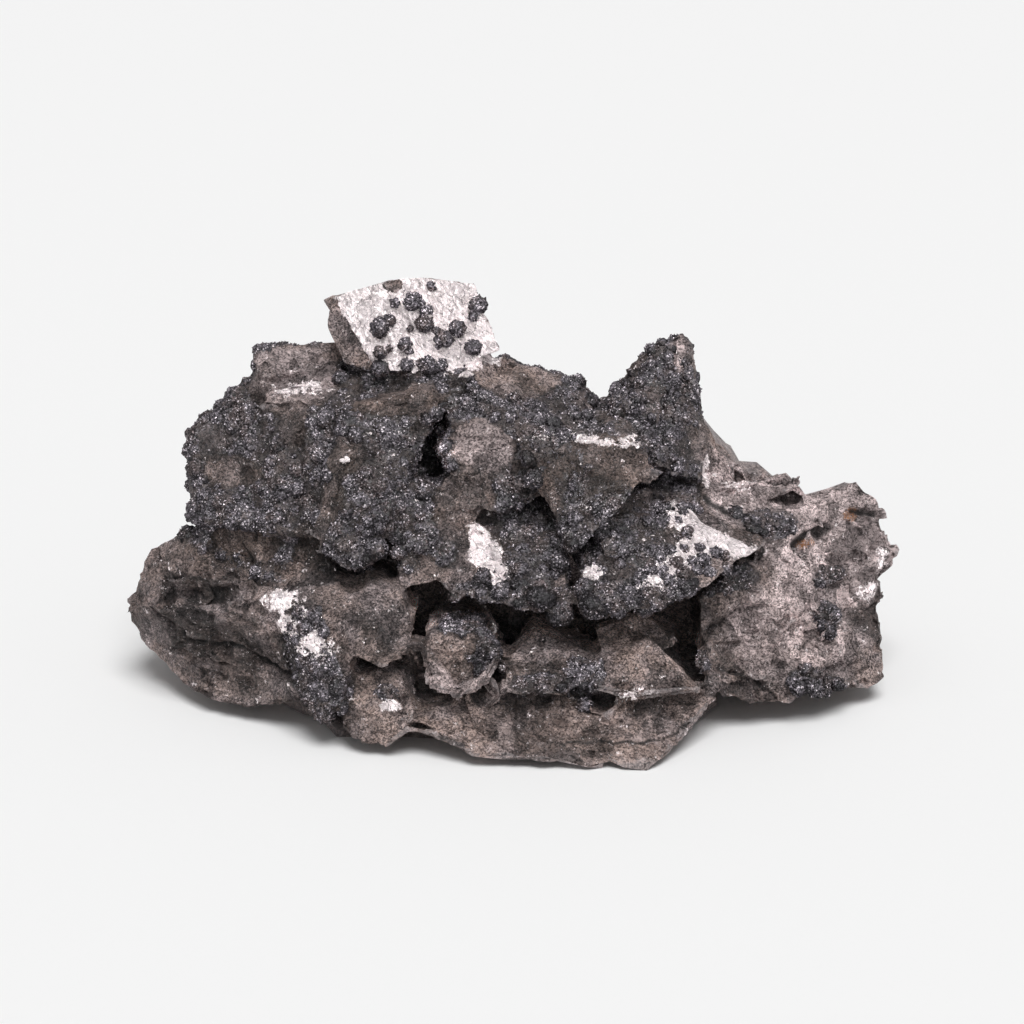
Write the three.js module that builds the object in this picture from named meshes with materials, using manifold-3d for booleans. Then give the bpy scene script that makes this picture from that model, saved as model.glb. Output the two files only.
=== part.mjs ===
// Freibergite specimen: silver-grey cleavage plates and brown-grey angular blocks, grown together
// on a broad base, with a knobbly dark crust over the upper walls. It is one natural solid.
// Millimetres, +Z up. The origin is under the middle, on the surface that the specimen rests on.
import * as THREE from 'three';
import { ConvexGeometry } from 'three/addons/geometries/ConvexGeometry.js';
import { ImprovedNoise } from 'three/addons/math/ImprovedNoise.js';
import { mergeVertices } from 'three/addons/utils/BufferGeometryUtils.js';
import Module from 'manifold-3d';

const wasm = await Module();
wasm.setup();

// Driving dimensions.
const LEFT = -66; // left end of the base
const RIGHT = 67; // right end of the stepped terraces
const FRONT = -41; // nose of the front ledge
const PEAK_TOP = 60; // tip of the crusted peak
const SLAB_TOP = 68; // upper edge of the silver plate, the highest point
const WALL_TOP = 52; // brow of the crusted left wall
const LEDGE_TOP = 10; // top of the front ledge
const LIFT = 2; // how far the outer undersides clear the surface below
const BURIED = -4; // depth that the foot reaches to before it is cut off flat

// Surface of the broken rock and of the crust.
const ROCK_FACET = 14; // longest edge of a rock facet
const CRUST_FACET = 5.5; // longest edge of a crust facet
const ROCK_WAVES = [15, 8]; // lengths of the long and the short rise and fall of the rock
const ROCK_ROUGHNESS = 1.2; // how far the corners of the rock facets rise and fall
const CRUST_RELIEF = 1.3; // how far the corners of the crust facets stand out
const LUMP_RADII = [1.2, 2.4]; // smallest and largest of the crust's balls
const LUMP_SPACING = 0.85; // closest two balls come, as a share of their radii together
const WELD = 0.001; // corners closer than this are one corner
const SLIVER = 0.05; // facets thinner than this are merged into their neighbours

// ---------------------------------------------------------------- the blocks
// Each block is the outline of its front, and how far and which way it runs back from there.

const base = {
  leftLowerBed: { back: [10, 26, 0], face: [
    [-57, -15, 18], [-41, -22, 22], [-40, -26, 12], [-34, -28, 5], [-44, -23, LIFT],
    [-51, -20, LIFT], [-55, -15, 3], [-56, -11, 5], [-61, -7, 7], [-65, -3, 10], [LEFT, -3, 13],
  ] },
  leftUpperBed: { back: [10, 24, -9], face: [
    [-61, -3, 24], [-55, -6, 28], [-44, -12, 31], [-29, -18, 29], [-29, -21, 23],
    [-41, -22, 22], [-57, -15, 17], [-65, -5, 15], [-62, -3, 20],
  ] },
  patchBlock: { back: [3, 18, 0], face: [
    [-41, -22, 22], [-40, -21, 24], [-28, -24, 25], [-26, -27, 24], [-25, -32, 16],
    [-27, -34, 6], [-31, -32, 4], [-34, -29, 5], [-40, -26, 13],
  ] },
  litLobe: { back: [0, 18, -2], face: [
    [-27, -27, 24], [-23, -24, 26], [-18, -25, 25], [-15, -29, 20], [-16, -32, 16],
    [-21, -33, 14], [-26, -32, 16],
  ] },
  roundBoulder: { back: [0, 18, -3], face: [
    [-15, -31, 17], [-14, -34, 12], [-8, -36, 10], [-3, -35, 12], [-1, -32, 16],
    [-5, -28, 20], [-10, -26, 20], [-14, -28, 19],
  ] },
  knob: { back: [0, 18, 2], face: [
    [-26, -34, 2], [-20, -37, 1], [-16, -37, 3], [-15, -36, 7], [-16, -34, 11],
    [-19, -30, 13], [-24, -29, 12], [-27, -30, 8], [-28, -32, 3],
  ] },
  ledgeLeft: { back: [0, 18, 0], face: [
    [-16, -36, 3], [-5, -40, 1], [-5, -32, LEDGE_TOP], [-9, -32, 9], [-14, -32, 8],
    [-15, -35, 6],
  ] },
  ledgeMiddle: { back: [0, 18, 0], face: [
    [-6, -39, 1], [4, FRONT, 1], [14, FRONT, 0], [14, -36, 8], [8, -32, LEDGE_TOP],
    [-4, -31, LEDGE_TOP],
  ] },
  ledgeRight: { back: [-4, 16, 0], face: [
    [12, FRONT, 1], [21, FRONT, 0], [24, -40, 1], [28, -36, 3], [33, -29, 7], [30, -28, 8],
    [16, -34, 9], [11, -38, 7],
  ] },
  frontWedge: { back: [0, 16, -4], face: [
    [11, -31, 13], [14, -29, 16], [22, -27, 18], [24, -28, 17], [31, -32, 9],
    [20, -36, 9], [12, -36, 11],
  ] },
  recessFloor: { back: [0, 14, -3], face: [
    [-1, -29, 14], [3, -21, 17], [13, -26, 15], [14, -33, 13], [8, -37, 11], [-2, -36, 11],
  ] },
  rightBaseInner: { back: [0, 24, 0], face: [
    [30, -25, 16], [35, -17, 19], [41, -16, 19], [51, -13, 20], [53, -17, 16],
    [53, -23, 6], [47, -23, 3], [40, -25, 3], [33, -27, 6], [29, -27, 12],
  ] },
  rightBaseOuter: { back: [-4, 24, 0], face: [
    [51, -12, 19], [58, -9, 18], [62, -7, 16], [63, -10, 10], [63, -13, 3],
    [56, -17, 3], [53, -21, 6], [53, -16, 16],
  ] },
  toeSlab: { back: [0, 10, 0], face: [
    [34, -26, 8], [38, -24, 11], [45, -23, 5], [42, -23, 3], [34, -26, 5],
  ] },
};

const upper = {
  leftWall: { back: [6, 26, -5], face: [
    [-55, -1, 43], [-49, 1, 47], [-44, 1, WALL_TOP], [-34, -7, WALL_TOP], [-27, -11, 50],
    [-29, -21, 32], [-34, -19, 30], [-43, -15, 32], [-54, -9, 30], [-55, -5, 33],
    [-55, -1, 38],
  ] },
  buttress: { back: [0, 18, -2], face: [
    [-27, -11, WALL_TOP], [-13, -11, 55], [-11, -11, WALL_TOP], [-14, -15, 46],
    [-18, -18, 41], [-21, -23, 33], [-23, -25, 27], [-27, -26, 27], [-30, -24, 29],
    [-34, -21, 33], [-29, -18, 43],
  ] },
  crustBulge: { back: [0, 9, -1], face: [
    [-20, -19, 38], [-16, -17, 40], [-12, -17, 38], [-11, -19, 33], [-14, -21, 30],
    [-20, -21, 30],
  ] },
  innerSlope: { back: [0, 8, 0], face: [
    [-13, -16, 36], [-9, -14, 41], [-3, -15, 42], [-4, -18, 36], [-9, -19, 31],
    [-12, -22, 24], [-18, -22, 23], [-19, -20, 29],
  ] },
  leftTopBlock: { back: [2, 18, -6], face: [
    [-43, 3, 57], [-41, 5, 57], [-29, 6, 56], [-28, 3, 54], [-29, -5, 51], [-41, -6, 50],
    [-44, 0, WALL_TOP],
  ] },
  leftShelf: { back: [0, 16, -4], face: [
    [-29, 0, 53], [-12, -3, 54], [-11, -8, 53], [-18, -13, 49], [-26, -14, 46],
    [-31, -7, 51],
  ] },
  silverSlab: { back: [-3, 5, -2], face: [
    [-29, 2, 66], [-27, 2, 67], [-19, 4, SLAB_TOP], [-14, 5, SLAB_TOP], [-6, 6, 67],
    [-5, 4, 63], [-2, 0, 57], [-12, -4, 54], [-22, -5, 55],
  ] },
  slabRoot: { back: [2, 8, -3], face: [
    [-31, 2, 61], [-30, 2, 65], [-22, -4, 56], [-23, -4, 54], [-28, -1, 55],
  ] },
  hill: { back: [0, 18, -7], face: [
    [-12, -5, 55], [-7, 1, 55], [-2, 4, 55], [5, 4, 53], [11, 4, 51], [14, 3, 48],
    [14, -6, 45], [8, -12, 46], [-10, -11, 48], [-12, -8, WALL_TOP],
  ] },
  peak: { back: [1, 13, -8], face: [
    [15, 3, 48], [16, 3, 50], [21, 2, 57], [24, 2, 59], [28, 2, PEAK_TOP], [30, 1, 58],
    [31, 0, WALL_TOP], [31, -1, 49], [32, -5, 43], [31, -11, 38], [24, -14, 41],
    [16, -9, 46],
  ] },
  shoulder: { back: [0, 16, -5], face: [
    [31, 2, 48], [34, 4, 43], [35, 4, 39], [38, 5, 38], [39, 1, 36], [31, -7, 37],
    [30, -3, 43],
  ] },
  wedgePlate: { back: [0, 8, 2], face: [
    [0, -16, 47], [16, -18, 48], [23, -21, 45], [23, -22, 43], [17, -25, 37],
    [10, -27, 31], [8, -25, 32], [5, -21, 39],
  ] },
  centrePlate: { back: [0, 14, -2], face: [
    [-12, -12, 46], [-9, -10, 48], [-5, -10, 48], [1, -13, 46], [5, -19, 38],
    [-2, -20, 35], [-9, -17, 37], [-12, -14, 41],
  ] },
  silverLedge: { back: [0, 14, 3], face: [
    [-13, -21, 26], [-7, -17, 33], [1, -18, 35], [8, -22, 32], [9, -28, 24], [8, -30, 22],
    [1, -29, 23], [-5, -27, 24], [-12, -24, 24],
  ] },
  rightPlate: { back: [0, 12, 3], face: [
    [14, -25, 30], [22, -19, 33], [28, -15, 36], [42, -17, 29], [37, -23, 29],
    [30, -28, 26], [20, -31, 23], [14, -31, 22], [10, -30, 23], [10, -27, 27],
  ] },
  smallPlate: { back: [0, 8, 2], face: [
    [12, -22, 36], [22, -18, 35], [25, -20, 33], [17, -26, 30], [14, -26, 30],
  ] },
  caveWall: { back: [0, 12, -2], face: [
    [13, -21, 17], [21, -20, 19], [27, -25, 16], [20, -30, 15], [14, -29, 15],
  ] },
};

const terraces = {
  belowPeak: { back: [0, 16, -5], face: [
    [31, -8, 37], [40, -6, 37], [42, -9, 33], [38, -12, 32], [31, -12, 34],
  ] },
  upperStep: { back: [0, 18, -8], face: [
    [39, 1, 36], [47, 5, 36], [50, 3, 34], [48, -1, 33], [41, -6, 33],
  ] },
  farStep: { back: [-4, 18, -8], face: [
    [48, -1, 33], [51, 1, 33], [58, 3, 34], [62, 1, 31], [63, -1, 28], [56, -4, 28],
    [48, -7, 30],
  ] },
  outerStep: { back: [-6, 20, -8], face: [
    [54, -5, 29], [62, -1, 28], [63, -1, 25], [RIGHT, -1, 22], [64, -2, 18], [56, -7, 19],
    [47, -11, 25], [47, -11, 27],
  ] },
  lowerStep: { back: [-3, 18, -3], face: [
    [47, -11, 26], [58, -7, 26], [63, -4, 22], [63, -6, 15], [53, -12, 18],
    [42, -14, 22], [37, -17, 24],
  ] },
  innerStep: { back: [0, 18, -4], face: [
    [37, -12, 34], [47, -9, 33], [53, -7, 30], [47, -12, 25], [40, -15, 27],
  ] },
  innerFoot: { back: [0, 18, -2], face: [
    [37, -17, 27], [47, -12, 25], [51, -13, 19], [41, -16, 19], [36, -17, 22],
  ] },
  darkShelf: { back: [0, 14, -2], face: [
    [30, -20, 21], [36, -17, 25], [46, -15, 20], [38, -19, 19], [30, -24, 16],
  ] },
};

const behind = {
  lowerCore: { back: [0, 22, 0], face: [
    [-52, -6, 3], [50, -8, 3], [-48, -6, 24], [48, -4, 24], [54, 8, 3], [50, 8, 26],
  ] },
  upperCore: { back: [0, 18, -2], face: [
    [-46, 2, 24], [28, -4, 24], [-40, 4, 46], [-8, 2, 49], [25, 1, 44],
  ] },
  pedestal: { back: [0, 40, 0], face: [
    [-24, -32, BURIED], [22, -36, BURIED], [36, -14, BURIED], [-40, -12, BURIED],
    [-38, -18, 8], [34, -20, 8],
  ] },
};

const boulders = [
  { at: [-40, 14, 15], size: [17, 16, 16], seed: 3 },
  { at: [-30, 17, 35], size: [16, 12, 14], seed: 5 },
  { at: [-22, 26, 14], size: [18, 17, 18], seed: 7 },
  { at: [-6, 15, 42], size: [15, 12, 11], seed: 9 },
  { at: [4, 27, 13], size: [18, 16, 17], seed: 11 },
  { at: [22, 13, 35], size: [11, 9, 15], seed: 13 },
  { at: [10, 20, 31], size: [16, 12, 12], seed: 15 },
  { at: [28, 20, 14], size: [18, 16, 18], seed: 17 },
  { at: [47, 10, 14], size: [14, 13, 13], seed: 19 },
  { at: [39, 10, 27], size: [13, 12, 9], seed: 21 },
  { at: [-53, 6, 13], size: [10, 11, 9], seed: 23 },
  { at: [-38, 8, 43], size: [12, 9, 9], seed: 25 },
];

// Thin hollows that part the blocks: the same outlines, taken out of the rock.
const hollows = {
  slit: { back: [1, 12, 0], face: [
    [-13, -13, 49], [-11, -12, 49], [-12, -15, 44], [-14, -18, 43],
  ] },
  sidePocket: { back: [0, 9, 0], face: [
    [21, -23, 38], [25, -20, 38], [24, -20, 34], [20, -24, 35],
  ] },
  dark: { back: [2, 9, 1], face: [
    [-25, -28, 27], [-20, -24, 28], [-20, -26, 25], [-23, -29, 25],
  ] },
  ledgeCrack: { back: [0, 4, 1], face: [
    [7, -43, 6.4], [29, -38, 4], [29, -38, 4.8], [18, -41, 7], [7, -43, 7],
  ] },
  bedCrack: { back: [0, 5, 1], face: [
    [-58, -16, 17.5], [-43, -24, 21.6], [-43, -24, 22.4], [-58, -16, 18.6],
  ] },
};

// ---------------------------------------------------------------- solids

function solidFrom(geometry) {
  const bare = geometry.clone();
  bare.deleteAttribute('normal');
  bare.deleteAttribute('uv');
  const merged = mergeVertices(bare, WELD);
  return new wasm.Manifold(new wasm.Mesh({
    numProp: 3,
    vertProperties: new Float32Array(merged.attributes.position.array),
    triVerts: new Uint32Array(merged.index.array),
    tolerance: SLIVER,
  }));
}

function geometryFrom(solid) {
  const mesh = solid.getMesh();
  const geometry = new THREE.BufferGeometry();
  geometry.setAttribute('position', new THREE.BufferAttribute(mesh.vertProperties, 3));
  geometry.setIndex(new THREE.BufferAttribute(mesh.triVerts, 1));
  return geometry;
}

// A repeatable random stream, so that the specimen is the same every time.
function randomStream(seed) {
  let state = seed;
  return () => {
    state = (state * 1664525 + 1013904223) % 4294967296;
    return state / 4294967296;
  };
}

function block({ face, back }) {
  const shift = new THREE.Vector3(...back);
  const corners = face.map((corner) => new THREE.Vector3(...corner));
  return solidFrom(new ConvexGeometry([...corners, ...corners.map((c) => c.clone().add(shift))]));
}

// A boulder: the hull of points spread around an ellipsoid in a loose spiral.
function boulder({ at, size, seed }) {
  const random = randomStream(seed);
  const corners = 16;
  const goldenAngle = Math.PI * (3 - Math.sqrt(5));
  const points = [];
  for (let i = 0; i < corners; i += 1) {
    const height = 1 - (2 * i + 1) / corners;
    const ring = Math.sqrt(1 - height * height);
    const turn = i * goldenAngle + 0.9 * random();
    const bulge = 0.86 + 0.24 * random();
    const spoke = new THREE.Vector3(ring * Math.cos(turn), ring * Math.sin(turn), height);
    points.push(spoke.multiply(new THREE.Vector3(...size).multiplyScalar(bulge)));
  }
  const shape = new ConvexGeometry(points);
  shape.translate(...at);
  return solidFrom(shape);
}

// ---------------------------------------------------------------- crust
// Where the dark crust grows: the middle and reach of each patch, and how many balls stand in it.

const crustPatches = [
  { at: [-44, -6, 42], reach: [13, 12, 11], balls: 13 },
  { at: [-25, -18, 40], reach: [10, 10, 14], balls: 12 },
  { at: [-14, -14, 43], reach: [5, 8, 14], balls: 4 },
  { at: [24, -6, 48], reach: [9, 9, 13], balls: 12 },
  { at: [0, -6, 52], reach: [13, 8, 5], balls: 4 },
  { at: [10, -20, 43], reach: [11, 6, 7], balls: 3 },
  { at: [-4, -25, 25], reach: [12, 6, 5], balls: 8 },
  { at: [19, -28, 24], reach: [12, 6, 4], balls: 7 },
  { at: [-28, 27, 38], reach: [14, 9, 11], balls: 4 },
];

// The balls on the silver slab: where each stands across and up the plate, and its radius.
const slabBalls = [
  [-19, 65, 0.9], [-16, 65, 1.6], [-13, 67, 0.9], [-6, 64, 1.4], [-6, 62, 1], [-22, 61, 1.6],
  [-20, 62, 1.1], [-14, 62, 1.6], [-14, 64, 1.1], [-9, 61, 1.4], [-11, 59, 1.4], [-17, 59, 1.3],
  [-6, 58, 1.4], [-21, 58, 1.1], [-17, 56, 1.2], [-13, 56, 1.5],
];

const inPatch = (point, { at, reach }) => Math.hypot(
  (point.x - at[0]) / reach[0],
  (point.y - at[1]) / reach[1],
  (point.z - at[2]) / reach[2],
) < 1;
const isCrusted = (point) => crustPatches.some((patch) => inPatch(point, patch));

// ---------------------------------------------------------------- surface

// The triangles of the outermost skin: sealed hollows deep inside are filled.
function outerSkin(geometry) {
  const corners = geometry.index.array;
  const skinOf = Array.from({ length: geometry.attributes.position.count }, (_, i) => i);
  const rootOf = (i) => {
    let root = i;
    while (skinOf[root] !== root) root = skinOf[root];
    skinOf[i] = root;
    return root;
  };
  for (let t = 0; t < corners.length; t += 3) {
    skinOf[rootOf(corners[t + 1])] = rootOf(corners[t]);
    skinOf[rootOf(corners[t + 2])] = rootOf(corners[t]);
  }
  const sizes = new Map();
  corners.forEach((corner) => sizes.set(rootOf(corner), (sizes.get(rootOf(corner)) ?? 0) + 1));
  const outer = [...sizes].sort((a, b) => b[1] - a[1])[0][0];
  const position = geometry.attributes.position;
  const triangles = [];
  for (let t = 0; t < corners.length; t += 3) {
    if (rootOf(corners[t]) === outer) {
      triangles.push([0, 1, 2].map((k) => (
        new THREE.Vector3().fromBufferAttribute(position, corners[t + k])
      )));
    }
  }
  return triangles;
}

// Halves every edge longer than the facet size at its middle, the most oversized first, so that
// two triangles that share an edge always split it alike.
function splitFacet([a, b, c], facets) {
  const edges = [[a, b, c], [b, c, a], [c, a, b]].map(([from, to, apex]) => {
    const middle = from.clone().add(to).multiplyScalar(0.5);
    const limit = isCrusted(middle) ? CRUST_FACET : ROCK_FACET;
    return { from, to, apex, middle, excess: from.distanceTo(to) / limit };
  });
  const { from, to, apex, middle, excess } = edges.sort((p, q) => q.excess - p.excess)[0];
  if (excess > 1) {
    splitFacet([from, middle, apex], facets);
    splitFacet([middle, to, apex], facets);
  } else {
    facets.push(a, b, c);
  }
}

const noise = new ImprovedNoise();
const wave = ({ x, y, z }, length, step) => noise.noise(x / length + step, y / length, z / length);

// Rock facets rise and fall in every direction. Crust facets stand out in knobs.
function weathered(solid) {
  const facets = [];
  outerSkin(geometryFrom(solid)).forEach((triangle) => splitFacet(triangle, facets));
  const geometry = mergeVertices(new THREE.BufferGeometry().setFromPoints(facets), WELD);
  geometry.computeVertexNormals();
  const { position, normal } = geometry.attributes;
  for (let i = 0; i < position.count; i += 1) {
    const corner = new THREE.Vector3().fromBufferAttribute(position, i);
    const outward = new THREE.Vector3().fromBufferAttribute(normal, i);
    const push = new THREE.Vector3(...[0, 31, 67].map((step) => (
      wave(corner, ROCK_WAVES[0], step) + 0.4 * wave(corner, ROCK_WAVES[1], step)
    ))).multiplyScalar(ROCK_ROUGHNESS);
    if (isCrusted(corner)) {
      push.addScaledVector(outward, CRUST_RELIEF * wave(corner, 1.7, 13));
    }
    corner.add(push);
    position.setXYZ(i, corner.x, corner.y, corner.z);
  }
  return solidFrom(geometry);
}

// ---------------------------------------------------------------- balls of the crust

function trianglesOf(solid) {
  const { position } = geometryFrom(solid).attributes;
  const corners = geometryFrom(solid).index.array;
  const triangles = [];
  for (let t = 0; t < corners.length; t += 3) {
    triangles.push(new THREE.Triangle(...[0, 1, 2].map((k) => (
      new THREE.Vector3().fromBufferAttribute(position, corners[t + k])
    ))));
  }
  return triangles;
}

// Random points on the crusted skin, each triangle as likely as it is large.
function crustBalls(solid) {
  const random = randomStream(41);
  const crustSkin = trianglesOf(solid).filter((triangle) => (
    isCrusted(triangle.getMidpoint(new THREE.Vector3()))
  ));
  const balls = [];
  crustPatches.forEach((patch) => {
    const skin = crustSkin.filter((triangle) => (
      inPatch(triangle.getMidpoint(new THREE.Vector3()), patch)
    ));
    const total = skin.reduce((sum, triangle) => sum + triangle.getArea(), 0);
    const wanted = balls.length + patch.balls;
    for (let tries = 0; balls.length < wanted && tries < 4000; tries += 1) {
      let level = random() * total;
      const triangle = skin.find((each) => {
        level -= each.getArea();
        return level <= 0;
      }) ?? skin[0];
      const at = triangle.b.clone().lerp(triangle.c, random());
      at.lerp(triangle.a, 1 - Math.sqrt(random()));
      const radius = THREE.MathUtils.lerp(...LUMP_RADII, random() ** 2);
      const crowded = balls.some((ball) => (
        ball.at.distanceTo(at) < LUMP_SPACING * (ball.radius + radius)
      ));
      if (!crowded) {
        balls.push({ at, radius });
      }
    }
  });
  return balls;
}

// The slab's balls stand where a line from the front first meets the plate.
function ballsOnSlab(solid) {
  const plate = new THREE.Mesh(geometryFrom(solid), new THREE.MeshBasicMaterial());
  const away = new THREE.Vector3(0, 1, 0);
  return slabBalls.map(([x, z, radius]) => {
    const line = new THREE.Raycaster(new THREE.Vector3(x, 2 * FRONT, z), away);
    return { at: line.intersectObject(plate)[0].point, radius };
  });
}

function ballSolid({ at, radius }) {
  const ball = new THREE.IcosahedronGeometry(radius, 0);
  ball.rotateX(at.x);
  ball.rotateY(at.z);
  ball.translate(at.x, at.y, at.z);
  return solidFrom(ball);
}

// ---------------------------------------------------------------- the specimen

const join = (solids) => solids.reduce((whole, solid) => whole.add(solid));

const shapes = Object.values({ ...base, ...upper, ...terraces, ...behind });
const plainRock = join([...shapes.map(block), ...boulders.map(boulder)]);
const openRock = plainRock.subtract(join(Object.values(hollows).map(block)));
const rock = weathered(openRock);
const balls = [...crustBalls(rock), ...ballsOnSlab(rock)];
const crusted = join([rock, ...balls.map(ballSolid)]);

// Everything below the resting surface is cut off flat.
const room = new THREE.BoxGeometry(200, 200, 100);
room.translate(0, 0, 50);
const rested = geometryFrom(crusted.intersect(solidFrom(room)));
rested.computeBoundingBox();
const middle = rested.boundingBox.getCenter(new THREE.Vector3());
rested.translate(-middle.x, -middle.y, 0);

const specimen = new THREE.Mesh(
  rested,
  new THREE.MeshStandardMaterial({ color: 0x5c5456, roughness: 0.6, metalness: 0.25 }),
);
specimen.name = 'specimen';

const group = new THREE.Group();
group.add(specimen);
export default group;
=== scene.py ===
import itertools
import math

import bmesh
import bpy
import numpy as np
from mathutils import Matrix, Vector
from mathutils.bvhtree import BVHTree
from mathutils.kdtree import KDTree


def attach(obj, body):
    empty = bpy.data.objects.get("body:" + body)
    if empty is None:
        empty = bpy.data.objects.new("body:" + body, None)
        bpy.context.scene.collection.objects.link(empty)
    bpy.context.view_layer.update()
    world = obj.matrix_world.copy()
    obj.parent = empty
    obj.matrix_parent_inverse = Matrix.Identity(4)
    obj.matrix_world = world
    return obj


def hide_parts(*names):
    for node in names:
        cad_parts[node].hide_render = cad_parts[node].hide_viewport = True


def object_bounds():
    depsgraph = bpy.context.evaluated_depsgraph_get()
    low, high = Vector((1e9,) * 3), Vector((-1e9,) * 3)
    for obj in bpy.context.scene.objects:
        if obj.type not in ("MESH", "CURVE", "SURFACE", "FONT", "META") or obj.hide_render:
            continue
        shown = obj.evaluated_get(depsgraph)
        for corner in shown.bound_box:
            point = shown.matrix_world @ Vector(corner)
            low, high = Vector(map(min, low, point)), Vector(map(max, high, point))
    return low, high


# A freibergite specimen: broken grey-brown fahlore rock, a druse of dark crystal balls grown
# over its upper half, and a few cleavage faces of bright metal.
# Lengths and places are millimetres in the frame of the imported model, until a mesh is made.

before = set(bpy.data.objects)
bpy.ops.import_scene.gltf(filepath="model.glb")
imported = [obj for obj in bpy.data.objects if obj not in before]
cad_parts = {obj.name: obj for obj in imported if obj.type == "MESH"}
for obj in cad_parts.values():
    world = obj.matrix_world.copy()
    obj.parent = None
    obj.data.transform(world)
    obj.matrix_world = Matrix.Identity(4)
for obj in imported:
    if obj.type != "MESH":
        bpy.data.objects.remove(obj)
cad_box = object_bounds()
MM = 0.001
NODE = "specimen"
BODY = "root"
TRIANGLE_LIMIT = 195_000

# --- the rock's surface ---
VOXEL = 0.42
# The back and the foot, where the mesh is coarser. Behind, the druse grows in patches.
BACK_START = 8
BACK_FADE = 8
FOOT_TOP = 2
# facets of the broken rock: size, hollow and tilt as shares of it, seed
SCOOPS = [(9.0, 0.012, 0.05, 11), (4.2, 0.02, 0.085, 12), (1.7, 0.03, 0.13, 13)]
# how the scoops' seams are bent: wavelength and reach as shares of their size
SCOOP_BEND = (0.6, 0.12)
# how much lower they are on bright metal, on the slab and under the crust
SILVER_CALM = 0.7
SLAB_CALM = 0.6
CRUST_CALM = 0.4
# rise and fall of the crust's rock: wavelength, height, seed
RIPPLES = [(3.0, 0.22, 21), (1.5, 0.2, 22), (0.9, 0.14, 23)]
BARE_RIPPLE = 0.25
# where the facets stand out more: centre, reach, how much more
RUGGED_SPOTS = [
    ((52, -8, 16), (22, 22, 16), 0.6), ((45, -20, 12), (13, 9, 11), 1.9),
    ((12, -36, 6), (26, 12, 7), 1.6), ((-46, -16, 16), (17, 15, 12), 2),
    ((-8, -32, 13), (7, 8, 6), 0.4), ((40, 0, 38), (10, 12, 8), 0.5),
    ((0, 34, 16), (64, 28, 32), 1.3),
]
# how far the surface may sink, as a share of the rock's thickness, and how that is measured:
# averaged this often, no further in than this, and from just under the skin
SINK_SHARE = 0.22
THICKNESS_BLUR = 4
THICKEST = 20.0
SKIN = 0.3
# what rises above this height is lowered to this share
TALL = 0.4
TALL_SHARE = 0.6
# a closed piece with fewer corners than this is a speck
STRAY_PIECE = 200
# how often the surface is averaged to find what stands out from it
BROAD_ROUNDS = 16
EDGE_ROUNDS = 2
# how readily the mesh is thinned out on the front and along the cuts (1 = as much as behind)
FRONT_THINNING = 0.5
CUT_THINNING = 0.1
CUT_SEEN = 0.15
# the knobs under the crust: how far apart, radius as a share of that, its spread, height, and
# how much painted light their tops get, with painted shade low between them
PIMPLE = 2.8
PIMPLE_RADIUS = 0.62
PIMPLE_SPREAD = 0.08
PIMPLE_HEIGHT = 0.45
PIMPLE_PAINTED_LIGHT = 0.75
FLAT_FOOT = 0.8

# The druse covers the rock above its floor and left of its right end. The spots take it away
# there (-) and lay it on elsewhere (+): centre, reach, amount.
CRUST_FLOOR = 26
CRUST_FADE = 3
CRUST_RIGHT_END = 31
CRUST_SPOTS = [
    ((-36, -1, 52.5), (8, 8, 5), -1.4), ((-36, -9, 47.5), (3, 4, 4), -1),
    ((-20, -10, 52.5), (9, 6, 2.8), -1.4), ((-27, -16.5, 44.5), (3.4, 4, 3.4), -1.2),
    ((-30, -19, 38), (3, 4, 5), -1), ((-33, -19, 31), (4, 4, 4), -1),
    ((-47, -8, 39), (8, 4, 2.6), -0.9), ((2, 0, 53), (9, 7, 3.4), -1.3),
    ((14, -1, 48), (2, 3, 2.4), -1), ((-5, -13, 45), (5.5, 4, 4.5), -1.1),
    ((-8, -16, 36), (5, 6, 6), -1.2), ((5, -20, 38.5), (2.4, 3, 5), -0.9),
    ((21, -21, 43), (3, 3, 3), -1), ((12, -19, 43), (11, 5, 7), -0.4),
    ((-5, -20, 29.5), (3.6, 4, 3.8), -1.3), ((-45, -13, 28), (8, 5, 2.5), -1.2),
    ((27.5, 0, 56.5), (1.2, 3, 4), -0.7), ((31, -18, 32), (7, 5, 3.6), -1),
    ((-33, -27, 15), (5.5, 6, 8), 1.1), ((-30, -30, 9), (5, 5, 5), 1.1),
    ((-8, -22, 20), (7, 8, 3), 1.3), ((-4, -28, 15), (2.4, 4, 4), 1.2),
    ((12, -31.5, 12.5), (3, 4, 5), 1.4), ((5, -33, 11.8), (6, 3, 1.5), 1.2),
    ((18, -28, 23.5), (14, 6, 3), 1.2), ((-4, -26, 24), (10, 4, 3), 1),
    ((42, -11, 30.5), (6, 4, 3), 1.4), ((36, -16, 23.5), (5, 4, 2.2), 1.2),
    ((52.3, -14, 16), (2.4, 4, 2.4), 1.5), ((53, -11, 21.5), (3.6, 4, 1.8), 1.2),
    ((50, -21.5, 7), (6, 4, 2.4), 1.3), ((30, -26, 13), (2, 3, 1.6), 1.2),
    ((-20, -32.5, 10), (2, 3, 1.6), 1.1), ((27, -14, 23), (9, 10, 3.4), 1),
]
# clumps in the druse: wavelength, amount, seed, and how much is taken away everywhere
CRUST_CLUMPS = [(6.5, 0.45, 36), (3.0, 0.3, 35)]
CRUST_LOSS = 0.22
# the slab on top: its foot, its ends, and the edge of its bright face, x + slope * z = place
SLAB_FOOT = 54.2
SLAB_LEFT = -33
SLAB_RIGHT = 0
SLAB_FADE = 2
SLAB_EDGE_SLOPE = 0.667
SLAB_EDGE_PLACE = 14.3

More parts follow.
